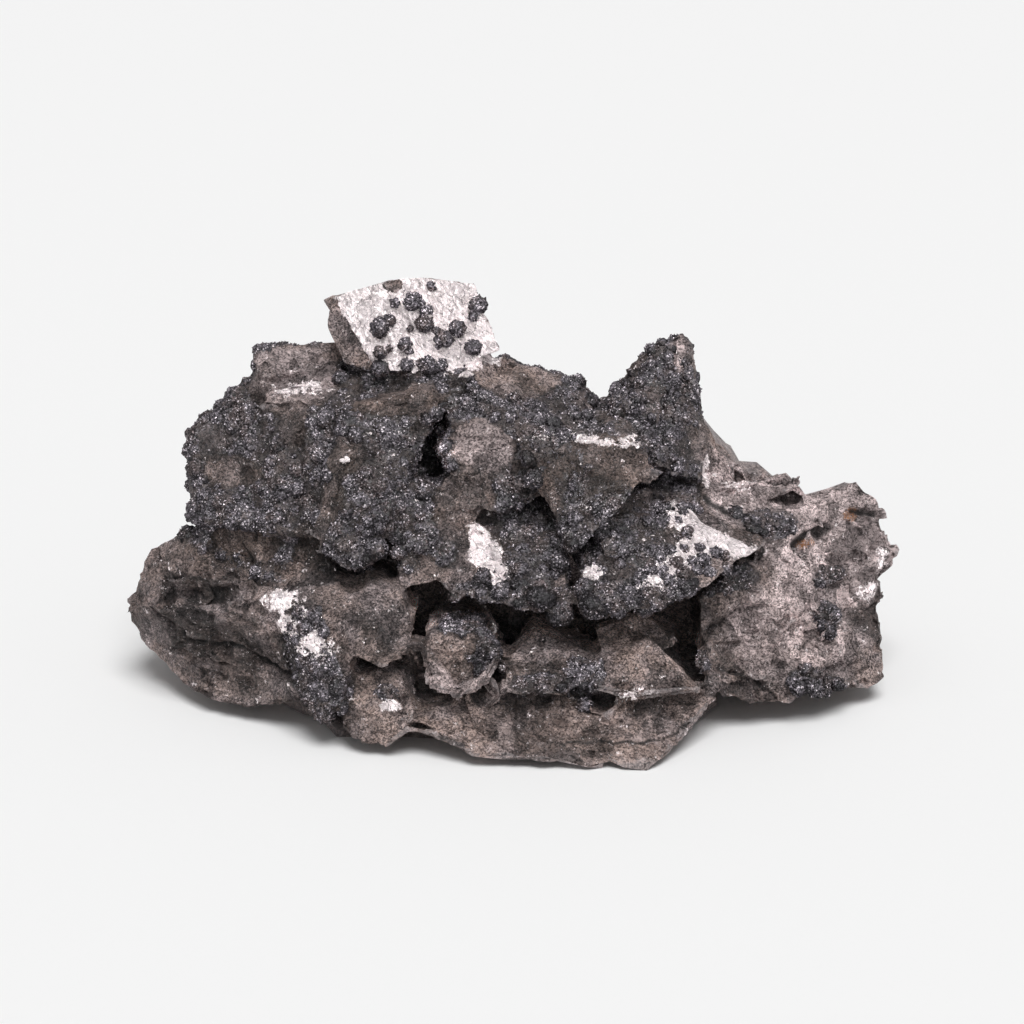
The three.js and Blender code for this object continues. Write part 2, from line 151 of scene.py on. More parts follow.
# Crust with few balls or none (+).
SMOOTH_SPOTS = [
    ((12, -20, 42), (13, 7, 8), 0.85), ((2, -4, 53), (12, 8, 5), 0.7),
    ((-5, -13, 45), (7, 4, 6), 0.7), ((-36, 0, 53), (10, 9, 6), 0.6),
    ((-22, -11, 51), (12, 5, 5), 0.6), ((-5, -20, 32), (6, 5, 8), 0.5),
    ((30, -18, 31), (8, 5, 5), 0.6), ((-46, -9, 38), (9, 5, 4), 0.6),
]
# Where the balls are larger (+) or smaller (-), in shares of their size.
SIZE_SPOTS = [
    ((18, -29, 24), (16, 6, 5), 0.35), ((0, -28, 24), (10, 5, 4), 0.2),
    ((24, -4, 48), (10, 10, 14), -0.25), ((-24, -18, 40), (10, 10, 14), 0.12),
]

# Bright metal: centre, reach, amount. The large facets are made of several spots in a row.
SILVER_SPOTS = [
    ((26, -16, 35.2), (1.4, 3, 1.3), 1), ((28.5, -17.5, 33.8), (2.7, 3, 2.3), 1.2),
    ((31.5, -19, 32), (3.2, 3, 2.8), 1.3), ((35.3, -20, 30.4), (3.2, 3, 2.2), 1.2),
    ((38.5, -19.5, 28.8), (2, 3, 1.1), 1), ((29.5, -21, 30.4), (3.2, 3, 2.4), 1),
    ((27, -23.5, 29.2), (3, 3, 2), 0.9), ((23.5, -26, 27.5), (2.8, 3, 2), 1),
    ((21.2, -27.8, 26), (1.6, 3, 1), 0.6), ((12.7, -25.8, 28), (2.2, 3, 1.3), 0.95),
    ((-5.5, -18, 31.6), (2, 3, 2), 1), ((-4.4, -20.4, 29.4), (2.9, 3, 2.8), 1.2),
    ((-2.4, -23.6, 27), (2, 3, 2), 0.9), ((-39, -23, 21.8), (3.2, 3, 2), 0.75),
    ((-36, -24, 22.6), (3, 3, 2), 0.65), ((-36.6, -25.2, 18.6), (2.2, 3, 2), 0.75),
    ((-33, -27.3, 16.6), (3.4, 3, 2.6), 0.62), ((-30.5, -29, 17), (2.8, 3, 2.6), 0.5),
    ((-32.5, -26, 21), (2.2, 3, 0.8), 0.6), ((-19.5, -34, 8.3), (2, 3, 0.9), 1.1),
    ((-2.5, -18, 16.2), (0.9, 4, 0.9), 1.1), ((18.5, -16.5, 47), (9, 3, 0.5), 0.75),
    ((8, -15.6, 47.2), (7, 3, 0.6), 0.6), ((-34.5, -3.6, 51.6), (6, 4, 1.2), 0.62),
    ((-26.8, -16.6, 43.8), (0.9, 2, 0.5), 1.1), ((20.3, -34, 10.4), (3.6, 3, 1), 0.6),
    ((17.5, -33.5, 8.9), (2.6, 3, 0.9), 0.55), ((62.2, -4.4, 22), (1.6, 4, 2.2), 0.75),
    ((59.7, -7.2, 17.3), (2.6, 4, 1.6), 0.6), ((32, -5, 38.5), (1.1, 4, 3.4), 0.75),
    ((37.5, -5, 35.8), (3, 3, 1.2), 0.6), ((-20, 30, 34), (6, 6, 5), 0.8),
    ((30, 28, 26), (5, 5, 4), 0.8),
]
# Where the slab's bright face is dulled.
DULL_SPOTS = [
    ((-19.6, 3, 67.2), (2, 4, 1.3), 1.6), ((-28.4, 2, 64.5), (1.6, 4, 3), 0.7),
]

# Lighter (+) and darker (-) rock, and browner rock.
PALE_SPOTS = [
    ((-50, -15, 14), (14, 12, 11), -1), ((-40, -10, 27), (16, 10, 5), -0.7),
    ((54, -2, 26), (16, 16, 12), 1.6), ((48, -18, 14), (16, 9, 10), 0.78),
    ((-36, -1, 52.5), (8, 8, 5), 0.6), ((-5, -13, 45.5), (6, 4, 4.5), 0.8),
    ((38, -4, 38), (8, 8, 6), 0.8), ((-9, -32.5, 14), (7, 3, 5), 0.7),
    ((-20, -10, 52), (10, 6, 5), -0.4), ((-22, -28, 18), (6, 6, 6), -0.5),
    ((40, -8, 34), (8, 8, 5), 1.3), ((23, -36, 10.6), (10, 3.5, 1.8), -0.7),
    ((2, 0, 54), (10, 6, 4), -0.35), ((8, -38, 7), (24, 6, 4), 0.35),
    ((27, 0, 56), (3, 4, 6), 0.9), ((30, -20, 31), (9, 6, 5), 0.4),
    ((-7, -17, 36), (8, 6, 7), -0.3), ((-47, -8, 39), (9, 5, 5), -0.8),
    ((-30, -19, 35), (6, 6, 9), -0.7), ((-27, -16.5, 44.5), (5, 5, 5), -0.6),
    ((13, -20, 42), (12, 6, 8), -0.6),
]
# Deep places, where the crystals and the rock are painted lighter: painted light that fills their
# shade.
PAINTED_FILL_SPOTS = [
    ((-13.8, -15, 18), (2.8, 7, 4), 3), ((-9, -18, 20), (5, 8, 4), 1),
    ((3, -15, 15.5), (10, 9, 4), 1.2), ((18, -16, 15), (12, 9, 5), 0.6),
    ((29, -19, 13.5), (2, 7, 5), 3), ((-11.5, -8, 42.5), (3, 8, 4), 2),
    ((30, -10, 33), (8, 6, 4), 0.6),
]
WARM_SPOTS = [
    ((-20, -11, 52), (10, 6, 5), 0.7), ((-28, -17.5, 42), (5, 5, 7), 0.8),
    ((-45, -14, 27), (14, 8, 5), 0.7), ((8, -37, 6), (24, 8, 5), 0.6),
    ((-20, -33, 8), (8, 6, 8), 0.6), ((-6, -31, 14), (7, 5, 6), 0.4),
    ((22, -30, 12), (8, 6, 6), 0.6), ((12, -19, 42), (10, 5, 8), 0.7),
    ((34, 0, 43), (5, 8, 5), 0.7), ((0, 0, 52), (10, 6, 5), 0.5),
    ((-7, -17, 36), (6, 5, 6), 0.6), ((44, -20, 12), (12, 8, 8), 0.4),
    ((-47, -8, 39), (8, 4, 4), 0.6),
]
RUST_SPOTS = [
    ((57, -1.5, 29), (2.2, 2.5, 1.2), 0.9), ((48.5, -9, 26.5), (2.4, 2.5, 0.8), 1),
    ((35, -1, 41), (1.6, 2, 1.2), 0.4),
]

# Cracks in the rock: depth, half width, the points that it runs through.
CRACKS = [
    (1.1, 0.5, [(-57.5, -9, 21), (-52, -14, 21), (-48, -17, 20.6), (-46, -18.5, 20.8)]),
    (1.3, 0.5, [(-56, -15, 12.3), (-52.5, -17, 11.8), (-48, -20, 12), (-45, -21.5, 12.8),
                 (-43, -23, 11.6), (-40.5, -24.5, 10), (-37.5, -26, 9.4)]),
    (1, 0.3, [(-43.5, -17.5, 24), (-38, -20.5, 24.6), (-35, -21.5, 25), (-31, -22.5, 26.4)]),
    (1, 0.35, [(-45, -12.5, 28.5), (-43, -15, 26), (-43.5, -17.5, 24)]),
    (0.9, 0.3, [(-41, -13, 28.5), (-39, -14, 30.5)]),
    (1, 0.35, [(-15, -36.5, 6.2), (-11, -37, 4.8), (-7.5, -37.5, 3.2), (-7, -38, 1.4)]),
    (0.8, 0.3, [(-6, -34.5, 9), (-5.4, -35.5, 6)]),
    (1.8, 0.7, [(44, 2, 33.8), (46.5, 2, 34.4), (49.5, 1, 34.6)]),
    (1.2, 0.5, [(56.5, 0, 29), (61, 0, 28.6)]),
    (0.7, 0.28, [(43.1, -12.9, 27), (46.6, -12.8, 23.8), (48.3, -13, 21.1), (49.3, -14.5, 18.8),
                (48, -16.6, 17.3), (45.5, -16.9, 18)]),
    (1.4, 1.3, [(52, -15.3, 16.3), (53.2, -15, 15.2)]),
    (1.2, 1, [(47.3, -10.9, 27.1), (49.9, -9.1, 28.2), (53.2, -4.9, 28.6)]),
    (0.8, 0.25, [(-61.3, -8.7, 16), (-58.3, -12.1, 13.4), (-55.6, -15.3, 10.3),
                 (-54.8, -15.8, 8)]),
    (0.9, 0.35, [(-60, -4, 24), (-58.8, -8.1, 20.7), (-57.5, -11.3, 19.5)]),
    (1, 0.4, [(-58.3, -8.2, 21.3), (-54.6, -12.7, 21.6), (-50.8, -14.9, 20.9)]),
    (0.8, 0.3, [(-42.3, -13.3, 29.8), (-43.2, -18, 25.1)]),
    (1.2, 0.35, [(8.7, -38, 4.7), (13.9, -38.8, 4.4), (20.3, -37.7, 4.2), (25.5, -35.4, 3.9),
                 (28.5, -32.6, 5.1)]),
    (1, 0.35, [(-8.8, -33.3, 8), (-7.1, -35.9, 5.7), (-7.9, -38.9, 2.5)]),
    (0.9, 0.35, [(30.4, -23.9, 15.6), (32.9, -21.4, 17.2), (37.1, -19.2, 18.6),
                 (41.5, -17.1, 19.2)]),
    (0.8, 0.3, [(48.1, -16.9, 17), (49.3, -18.6, 14.1), (47.9, -20.7, 11.6)]),
    (1, 0.4, [(34.1, -25.3, 11.1), (38.5, -24.9, 9.9), (43.3, -24.4, 4.2)]),
    (1.2, 0.5, [(31, -8, 34), (35, -11, 33.2), (40, -13, 30), (42, -15, 27)]),
    (0.8, 0.35, [(26.6, -3, 55.5), (25, -6, 51), (24.5, -8, 47.5)]),
    (1.1, 0.4, [(-34, 40, 22), (-24, 40, 19), (-16, 40, 13)]),
    (1.1, 0.4, [(14, 40, 24), (20, 40, 18), (30, 40, 15), (36, 40, 8)]),
]
CRACK_STEP = 0.8
CRACK_BEND = 0.4
# how far from a cut at least this deep the rock is painted dark: painted shade in the cut
CRACK_REACH = 0.8
LEAST_CUT = 0.05

# Bedded rock: centre, reach, direction across the beds, bed thickness, step height.
BEDS = [
    ((-50, -16, 15), (13, 12, 9), (0.25, 0.1, 1), 3.1, 0.45),
    ((10, -38, 4), (22, 8, 4), (-0.1, 0.1, 1), 2.6, 0.35),
    ((60, -6, 20), (8, 14, 10), (-0.3, 0.4, 1), 3, 0.4),
    ((-36, -1, 53), (8, 8, 5), (0.1, -0.2, 1), 1.3, 0.25),
    ((0, 36, 12), (50, 12, 12), (0.1, 0.2, 1), 3.6, 0.5),
]
# where each bed stands out most, how fast it falls back from there and where its joint is, as
# shares of its thickness, and the joint's half width
BED_TOP = 0.85
BED_FALL = 0.15
JOINT_AT = 0.97
JOINT_WIDTH = 0.3

# --- the druse ---
# the balls' radii, and the beta distribution that they follow
BALL_RADII = (0.7, 1.9)
BALL_RADIUS_SPREAD = (1.5, 2.6)
# large balls are set first, but not strictly
BALL_ORDER_NOISE = 0.35
# how close balls may come and how deep they are sunk, as shares of their radii
BALL_GAP = 0.8
BALL_SINK = (0.45, 0.85)
SINGLE_BALL_SINK = 0.3
# how much of the bright metal is kept clear, and how patchy the crystals are elsewhere
SILVER_CLEAR = 0.85
COVER_LEAST = 0.25
COVER_SIZE = 4.5
BALL_TRIES = 12_000
BALL_ROUGHNESS = 0.11
BALL_SQUASH = (0.86, 1.12)
BALL_CUTS = 4
SMALL_BALL_CUTS = 3
SMALL_BALL = 1.3
# below this a ball is drawn in to a tip, which stays in the rock
BALL_CAP = -0.45
BALL_TIP = -0.65
BALL_NORMAL_ROUNDS = 6
# added to each ball corner's height before it becomes painted light and shade: higher paints the
# balls lighter
BALL_PAINTED_LIGHT = 0.45
DRUSE_SEED = 80
# the single crystals, tetrahedra that stand on the crust and on its balls
GRAIN_SIZES = (0.18, 0.4)
GRAIN_SINK = 0.04
CRUST_GRAINS = 34_000
BALL_GRAINS = 36_000
# how light the crystals are: middle value and spread, share of very bright ones (painted glints),
# their value
GRAIN_TONE = (0.8, 0.4)
GRAIN_BRIGHT = 0.035
GRAIN_GLINT = 2.4
# the balls on the bright slab and on the bright wing: across, up, radius
SLAB_BALLS = [
    (-19.2, 64.8, 0.9), (-16.3, 65.1, 1.6), (-15, 64.6, 0.8), (-13.3, 66.8, 0.8),
    (-5.6, 63.9, 1.4), (-6.3, 62.3, 1), (-21.7, 61.5, 1.6), (-20.1, 62.4, 1.1),
    (-14.4, 61.8, 1.6), (-14, 63.4, 1.1), (-9, 60.7, 1.4), (-11.2, 59.4, 1.4),
    (-12.4, 60.2, 0.9), (-16.7, 60.8, 0.7), (-17.5, 58.9, 1.15), (-17, 57.8, 0.9),
    (-6.4, 57.9, 1.4), (-21.5, 57.7, 1.1), (-20.2, 58.3, 0.7), (-17.2, 55.8, 1.2),
    (-13.6, 55.7, 1.5), (-11.9, 55.4, 1.3), (-12.1, 58.1, 0.55), (-15, 55.6, 1),
]
WING_BALLS = [
    (28.2, 32.1, 1.2), (26.4, 31.6, 0.7), (26.9, 33.8, 0.7), (23.5, 30, 1.1), (25.6, 30.4, 0.9),
    (27.6, 30.4, 0.9), (30.2, 30.3, 0.9), (32.8, 29.6, 1.1), (26.4, 29, 1.1),
    (28.7, 29.2, 0.8), (30.6, 28.9, 1.3), (22, 28.4, 1.2), (24.1, 28.3, 0.9), (34.2, 29.3, 0.9),
    (29.4, 27.6, 1.2), (27.2, 27.6, 1.3), (31.6, 27.4, 1.2),
    (25, 26.9, 1.3), (34.4, 27.6, 1.1), (36.4, 27.8, 0.9),
]
# which way the balls of each table stand out, and from how far in front they are set
SINGLE_BALLS = [(SLAB_BALLS, (0, -0.93, 0.36)), (WING_BALLS, (0, -0.75, 0.66))]
VIEWER = -80


# --- noise ---
# after how many hills or cells it repeats
PERIOD = 48


def unit(vectors):
    return vectors / np.linalg.norm(vectors, axis=-1, keepdims=True)


def waves(points, size, seed):
    """Smooth noise of about -1 to 1, with hills `size` apart."""
    slopes = unit(np.random.default_rng(seed).normal(size=(PERIOD, PERIOD, PERIOD, 3)))
    grid = points / size
    corner = np.floor(grid).astype(int)
    inside = grid - corner
    ease = inside ** 3 * (inside * (inside * 6 - 15) + 10)
    total = np.zeros(len(points))
    for step in itertools.product((0, 1), repeat=3):
        slope = slopes[tuple(((corner + step) % PERIOD).T)]
        weight = np.prod(np.where(step, ease, 1 - ease), axis=1)
        total += weight * np.einsum("ij,ij->i", inside - step, slope)
    return total * 1.7


def cells(points, size, seed):
    """Cells around scattered seeds: each cell's own random numbers, and the way from its seed to
    each point, for all the cells around a point, one after the other."""
    rng = np.random.default_rng(seed)
    jitter = rng.random((PERIOD, PERIOD, PERIOD, 3))
    own = rng.normal(size=(PERIOD, PERIOD, PERIOD, 4))
    grid = points / size
    corner = np.floor(grid).astype(int)
    for step in itertools.product((-1, 0, 1), repeat=3):
        cell = corner + step
        index = tuple((cell % PERIOD).T)
        yield grid - cell - jitter[index], own[index]


def scoops(points, size, hollow, tilt, seed):
    """Shallow scoops that meet in sharp ridges, as broken rock has: how high the surface is, and
    a random number for each scoop."""
    lowest = np.full(len(points), np.inf)
    number = np.zeros(len(points))
    for way, own in cells(points, size, seed):
        bowl = 4 * hollow * (way ** 2).sum(1) + tilt * (way * own[:, :3]).sum(1)
        deeper = bowl < lowest
        lowest = np.where(deeper, bowl, lowest)
        number = np.where(deeper, own[:, 3], number)
    return (lowest - 0.5 * hollow) * size, number


def ramp(values, low, high):
    """0 below low, 1 above high, eased between."""
    t = np.clip((values - low) / (high - low), 0, 1)
    return t * t * (3 - 2 * t)


def spots(points, table):
    """The sum of the spots' amounts at each point, each fading out at its reach."""
    total = np.zeros(len(points))
    for centre, reach, amount in table:
        away = np.linalg.norm((points - np.array(centre)) / np.array(reach), axis=1)
        total += amount * (1 - ramp(away, 0.65, 1.25))
    return total


# --- fields over the surface ---
def crust_field(points):
    """Where the druse grows, from 0 to 1."""
    wobble = 3.0 * waves(points, 9, 31) + 1.6 * waves(points, 4, 32)
    height = ramp(points[:, 2] + wobble, CRUST_FLOOR - CRUST_FADE, CRUST_FLOOR + CRUST_FADE)
    left = 1 - ramp(points[:, 0] + wobble, CRUST_RIGHT_END - 2, CRUST_RIGHT_END + 2)
    behind = ramp(points[:, 1], BACK_START, BACK_START + BACK_FADE)
    patchy = ramp(waves(points, 16, 33) + 0.6 * waves(points, 7, 34), -0.25, 0.2)
    field = height * left * (1 - behind * (1 - patchy)) + spots(points, CRUST_SPOTS)
    clumps = sum(high * waves(points, size, seed) for size, high, seed in CRUST_CLUMPS)
    return np.clip(field + clumps - CRUST_LOSS, 0, 1) * (1 - on_slab(points))


def on_slab(points):
    """1 on the slab that stands on top, down to where the druse closes around its foot."""
    x, y, z = points.T
    foot = SLAB_FOOT + 0.5 * waves(points, 3, 37)
    left = ramp(x, SLAB_LEFT, SLAB_LEFT + SLAB_FADE)
    right = ramp(x, SLAB_RIGHT, SLAB_RIGHT + SLAB_FADE)
    return ramp(z, foot, foot + 1.2) * (1 - right) * left


def slab_face(points, normals):
    """1 on the slab's bright front, 0 on its dark narrow side and its back."""
    x, _, z = points.T
    side_edge = x + SLAB_EDGE_SLOPE * z - SLAB_EDGE_PLACE + 0.3 * waves(points, 1.5, 38)
    return on_slab(points) * ramp(side_edge, -0.3, 0.3) * ramp(-normals[:, 1], -0.1, 0.3)


def silver_field(points, normals):
    slab = slab_face(points, normals) * (1.6 - spots(points, DULL_SPOTS))
    return spots(points, SILVER_SPOTS) * (1 - on_slab(points)) + slab


# --- the rock ---
def read_vectors(items, name):
    values = np.empty(len(items) * 3, np.float32)
    items.foreach_get(name, values)
    return values.reshape(-1, 3).astype(float)


def points_of(mesh):
    """The mesh's corners, in millimetres."""
    return read_vectors(mesh.vertices, "co") / MM


def move_points(mesh, points):
    """Move the mesh's corners, but not out of the solid's box."""
    low, high = (np.array(corner) / MM for corner in cad_box)
    moved = np.clip(points, low, high) * MM
    mesh.vertices.foreach_set("co", moved.astype(np.float32).ravel())
    mesh.update()


def corners_of(mesh):
    """The three corner numbers of every triangle."""
    corners = np.empty(len(mesh.polygons) * 3, np.int32)
    mesh.polygons.foreach_get("vertices", corners)
    return corners.reshape(-1, 3)


def linked(name, data):
    """A new object in the scene."""
    made = bpy.data.objects.new(name, data)
    bpy.context.scene.collection.objects.link(made)
    return made


def applied(obj, name):
    """The object's mesh with its modifiers applied, in an object of its own."""
    graph = bpy.context.evaluated_depsgraph_get()
    mesh = bpy.data.meshes.new_from_object(obj.evaluated_get(graph))
    bpy.data.objects.remove(obj)
    return linked(name, mesh)


def remeshed(name):
    """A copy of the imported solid, with an even, fine mesh."""
    copy = linked(name + "_draft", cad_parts[NODE].data.copy())
    remesh = copy.modifiers.new("remesh", "REMESH")
    remesh.mode = "VOXEL"
    remesh.voxel_size = VOXEL * MM
    remesh.use_smooth_shade = False
    made = applied(copy, name)
    drop_strays(made.data)
    return made


def edge_ends(mesh):
    ends = np.empty(len(mesh.edges) * 2, np.int32)
    mesh.edges.foreach_get("vertices", ends)
    return ends.reshape(-1, 2).T


def summed_around(mesh, values):
    """For each vertex, the sum of the values of its neighbours."""
    a, b = edge_ends(mesh)
    columns = [np.bincount(a, column[b], len(values)) + np.bincount(b, column[a], len(values))
               for column in values.reshape(len(values), -1).T]
    return np.stack(columns, 1).reshape(values.shape)


def blurred(mesh, values, rounds):
    """Each vertex's value averaged with its neighbours', some times over."""
    count = 1 + summed_around(mesh, np.ones(len(values)))
    if values.ndim > 1:
        count = count[:, None]
    for _ in range(rounds):
        values = (values + summed_around(mesh, values)) / count
    return values


def drop_strays(mesh):
    """Take away the closed specks that the remeshing leaves in narrow hollows."""
    a, b = edge_ends(mesh)
    label = np.arange(len(mesh.vertices))
    before = None
    while before is None or (label != before).any():
        before = label.copy()
        lower = np.minimum(label[a], label[b])
        np.minimum.at(label, a, lower)
        np.minimum.at(label, b, lower)
        label = label[label]
    size = np.bincount(label, minlength=len(label))[label]
    stray = bmesh.new()
    stray.from_mesh(mesh)
    stray.verts.ensure_lookup_table()
    bmesh.ops.delete(stray, geom=[stray.verts[i] for i in np.flatnonzero(size < STRAY_PIECE)])
    stray.to_mesh(mesh)
    stray.free()


def beds(points):
    """Saw-tooth steps where the rock is bedded, and how deep the joint under each bed is."""
    height = np.zeros(len(points))
    joint = np.zeros(len(points))
    for centre, reach, across, thickness, step in BEDS:
        across = np.array(across) / np.linalg.norm(across)
        level = points @ across / thickness + 0.9 * waves(points, 13, 41)
        level += 0.3 * waves(points, 4, 42)
        tooth = level - np.floor(level)
        saw = np.where(tooth < BED_TOP, tooth / BED_TOP, (1 - tooth) / BED_FALL) - 0.5
        here = spots(points, [(centre, reach, 1)])
        height += step * saw * here
        open_here = ramp(waves(points, 6, 43) + 0.3, -0.1, 0.3) * here * step
        off_joint = np.abs(tooth - JOINT_AT) * thickness / JOINT_WIDTH
        joint = np.maximum(joint, open_here * np.exp(-(off_joint ** 2)))
    return height, joint


def on_surface(tree, route):
    """The route in short steps, each step brought to the nearest place on the rock."""
    route = np.array(route, float)
    steps = []
    for start, end in zip(route[:-1], route[1:]):
        count = max(2, int(np.linalg.norm(end - start) / CRACK_STEP))
        steps += [start + (end - start) * i / count for i in range(count)]
    return np.array([tree.find_nearest(Vector(step))[0][:] for step in steps + [route[-1]]])


def cracks(points, tree):
    """How deep the cracks cut in at each point."""
    depth = np.zeros(len(points))
    bent = points + CRACK_BEND * np.stack([waves(points, 2.2, s) for s in (51, 52, 53)], 1)
    for cut, width, route in CRACKS:
        route = on_surface(tree, route)
        near = np.flatnonzero(
            np.linalg.norm(points - route.mean(0), axis=1) < np.ptp(route, 0).max() + 5
        )
        for start, end in zip(route[:-1], route[1:]):
            along = end - start
            share = np.clip((bent[near] - start) @ along / (along @ along + 1e-9), 0, 1)
            away = np.linalg.norm(bent[near] - start - share[:, None] * along, axis=1)
            depth[near] = np.maximum(depth[near], cut * np.exp(-((away / width) ** 2)))
    return depth


def broken(points):
    """The broken rock: scoops of several sizes, and the tone that each has."""
    height = np.zeros(len(points))
    tone = np.zeros(len(points))
    for size, hollow, tilt, seed in SCOOPS:
        wave, reach = SCOOP_BEND
        bent = points + reach * size * waves(points, wave * size, seed + 5)[:, None]
        high, number = scoops(bent, size, hollow, tilt, seed)
        height += high
        tone += number * size / SCOOPS[0][0]
    return height, tone


def pimples(points):
    """Low rounded knobs, between and under the crystal balls: their height from 0 to 1."""
    near = np.full(len(points), np.inf)
    for way, own in cells(points, PIMPLE, 61):
        radius = PIMPLE_RADIUS + PIMPLE_SPREAD * own[:, 0]
        near = np.minimum(near, np.linalg.norm(way, axis=1) / radius)
    return np.sqrt(np.clip(1 - near ** 2, 0, 1))


def standing_out(mesh, points, normals, middles):
    """How far each point stands out from its middle: less than 0 in corners and hollows."""
    return blurred(mesh, np.einsum("ij,ij->i", points - middles, normals), EDGE_ROUNDS)


def put_attribute(mesh, name, values, domain="POINT"):
    mesh.attributes.new(name, "FLOAT", domain).data.foreach_set(
        "value", np.asarray(values, np.float32)
    )


def tree_of(mesh):
    return BVHTree.FromPolygons(points_of(mesh).tolist(), corners_of(mesh).tolist())


def thickness(points, normals, tree):
    """How much rock lies under each point."""
    found = np.full(len(points), THICKEST)
    inner = points - SKIN * normals
    for number, (place, way) in enumerate(zip(inner.tolist(), (-normals).tolist())):
        distance = tree.ray_cast(place, way, THICKEST)[3]
        if distance is not None:
            found[number] = distance + SKIN
    return found


def make_rock():
    """The dressed rock: an even copy of the solid, its surface moved in and out, then thinned."""
    rock = remeshed("rock")
    mesh = rock.data
    points = points_of(mesh)
    normals = read_vectors(mesh.vertices, "normal")
    crust = crust_field(points)
    silver = silver_field(points, normals)
    calm = 1 - SILVER_CALM * np.clip(silver, 0, 1)
    stepped, joint = beds(points)
    solid = tree_of(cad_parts[NODE].data)
    cut = np.maximum(cracks(points, solid), joint)
    rough = sum(high * waves(points, size, seed) for size, high, seed in RIPPLES)
    flat = 1 - SLAB_CALM * on_slab(points)
    rugged = (1 + spots(points, RUGGED_SPOTS)) * (1 - CRUST_CALM * crust) * flat
    height = (broken(points)[0] * rugged + stepped) * calm
    height += rough * (BARE_RIPPLE + (1 - BARE_RIPPLE) * crust)
    height += pimples(points) * PIMPLE_HEIGHT * crust
    foot = ramp(points[:, 2], 0, FLAT_FOOT)
    height = np.where(height > TALL, TALL + TALL_SHARE * (height - TALL), height)
    deepest = SINK_SHARE * blurred(mesh, thickness(points, normals, solid), THICKNESS_BLUR)
    height = np.maximum(height - cut, -deepest)
    moved = points + normals * (height * foot)[:, None]
    move_points(mesh, moved)
    coarse = (points[:, 1] > BACK_START) | (points[:, 2] < FOOT_TOP)
    coarse = np.where(coarse, 1.0, FRONT_THINNING)
    coarse = np.where(cut > CUT_SEEN, CUT_THINNING, coarse)
    group = rock.vertex_groups.new(name="coarse")
    for share in np.unique(coarse):
        group.add(np.flatnonzero(coarse == share).tolist(), float(share), "REPLACE")
    thin = rock.modifiers.new("thin", "DECIMATE")
    thin.vertex_group = group.name
    thin.ratio = min(1.0, TRIANGLE_LIMIT / (2 * len(mesh.polygons)))
    thin.use_collapse_triangulate = True
    rock = applied(rock, "rock")
    move_points(rock.data, points_of(rock.data))
    finish_rock(rock.data, moved, cut)
    return rock


def nearest(points, others):
    """The number of the nearest of the others, for each point."""
    tree = KDTree(len(others))
    for number, place in enumerate(others.tolist()):
        tree.insert(place, number)
    tree.balance()
    return [tree.find(place)[1] for place in points.tolist()]


def finish_rock(mesh, old_points, cut):
    """The numbers that the rock's material reads."""
    points = points_of(mesh)
    normals = read_vectors(mesh.vertices, "normal")
    sunk = np.flatnonzero(cut > LEAST_CUT)
    near = nearest(points, old_points[sunk])
    away = np.linalg.norm(points - old_points[sunk][near], axis=1)
    painted_crack_shade = np.where(away < CRACK_REACH, cut[sunk][near], 0)
    put_attribute(mesh, "crust", crust_field(points))
    put_attribute(mesh, "cover", cover(points))
    middles = read_vectors(mesh.polygons, "center") / MM
    put_attribute(mesh, "tone", broken(middles)[1], "FACE")
    # painted shade low between the knobs under the crust, lighter on their tops
    put_attribute(mesh, "painted_light_and_tone", PIMPLE_PAINTED_LIGHT * pimples(points))
    put_attribute(mesh, "silver", silver_field(points, normals))
    bedded = [(place, reach, 1) for place, reach, *_ in BEDS]
    for name, table in (("pale", PALE_SPOTS), ("painted_fill_light", PAINTED_FILL_SPOTS), ("warm", WARM_SPOTS),
                        ("rust", RUST_SPOTS), ("bedded", bedded)):
        put_attribute(mesh, name, spots(points, table))
    put_attribute(mesh, "painted_crack_shade", painted_crack_shade)
    count = summed_around(mesh, np.ones(len(points)))
    around = summed_around(mesh, points) / count[:, None]
    put_attribute(mesh, "edge", standing_out(mesh, points, normals, around))
    broad = blurred(mesh, points, BROAD_ROUNDS)
    # painted shade: darker in the rock's broad hollows, lighter where it stands out
    put_attribute(mesh, "painted_hollow_shade", standing_out(mesh, points, normals, broad))
    mesh.shade_flat()


# --- the druse ---
def ball_shape(cuts):
    """A unit ball of even small triangles."""
    mesh = bmesh.new()
    bmesh.ops.create_icosphere(mesh, subdivisions=1, radius=1)
    bmesh.ops.subdivide_edges(mesh, edges=mesh.edges[:], cuts=cuts - 1, use_grid_fill=True)
    bmesh.ops.triangulate(mesh, faces=mesh.faces[:])
    for vertex in mesh.verts:
        vertex.co.normalize()
    buried = [v for v in mesh.verts if v.co.z < BALL_CAP]
    bmesh.ops.pointmerge(mesh, verts=buried, merge_co=(0, 0, BALL_TIP))
    mesh.verts.index_update()
    corners = np.array([v.co[:] for v in mesh.verts])
    faces = np.array([[v.index for v in f.verts] for f in mesh.faces])
    mesh.free()
    return corners, faces


def surface_samples(mesh, count, weight, seed):
    """Random places on the mesh, more of them where weight is high."""
    rng = np.random.default_rng(seed)
    corners = corners_of(mesh)
    a, b, c = points_of(mesh)[corners.T]
    cross = np.cross(b - a, c - a)
    area = np.linalg.norm(cross, axis=1) / 2
    chance = area * weight[corners].mean(1)
    picked = rng.choice(len(corners), count, p=chance / chance.sum())
    u, v = rng.random((2, count, 1))
    flip = (u + v) > 1
    u, v = np.where(flip, 1 - u, u), np.where(flip, 1 - v, v)
    place = a[picked] + u * (b - a)[picked] + v * (c - a)[picked]
    return place, picked


def smooth_normals(mesh, rounds):
    """Corner normals averaged over their neighbours, so that balls stand on the broad form."""
    return unit(blurred(mesh, read_vectors(mesh.vertices, "normal"), rounds))


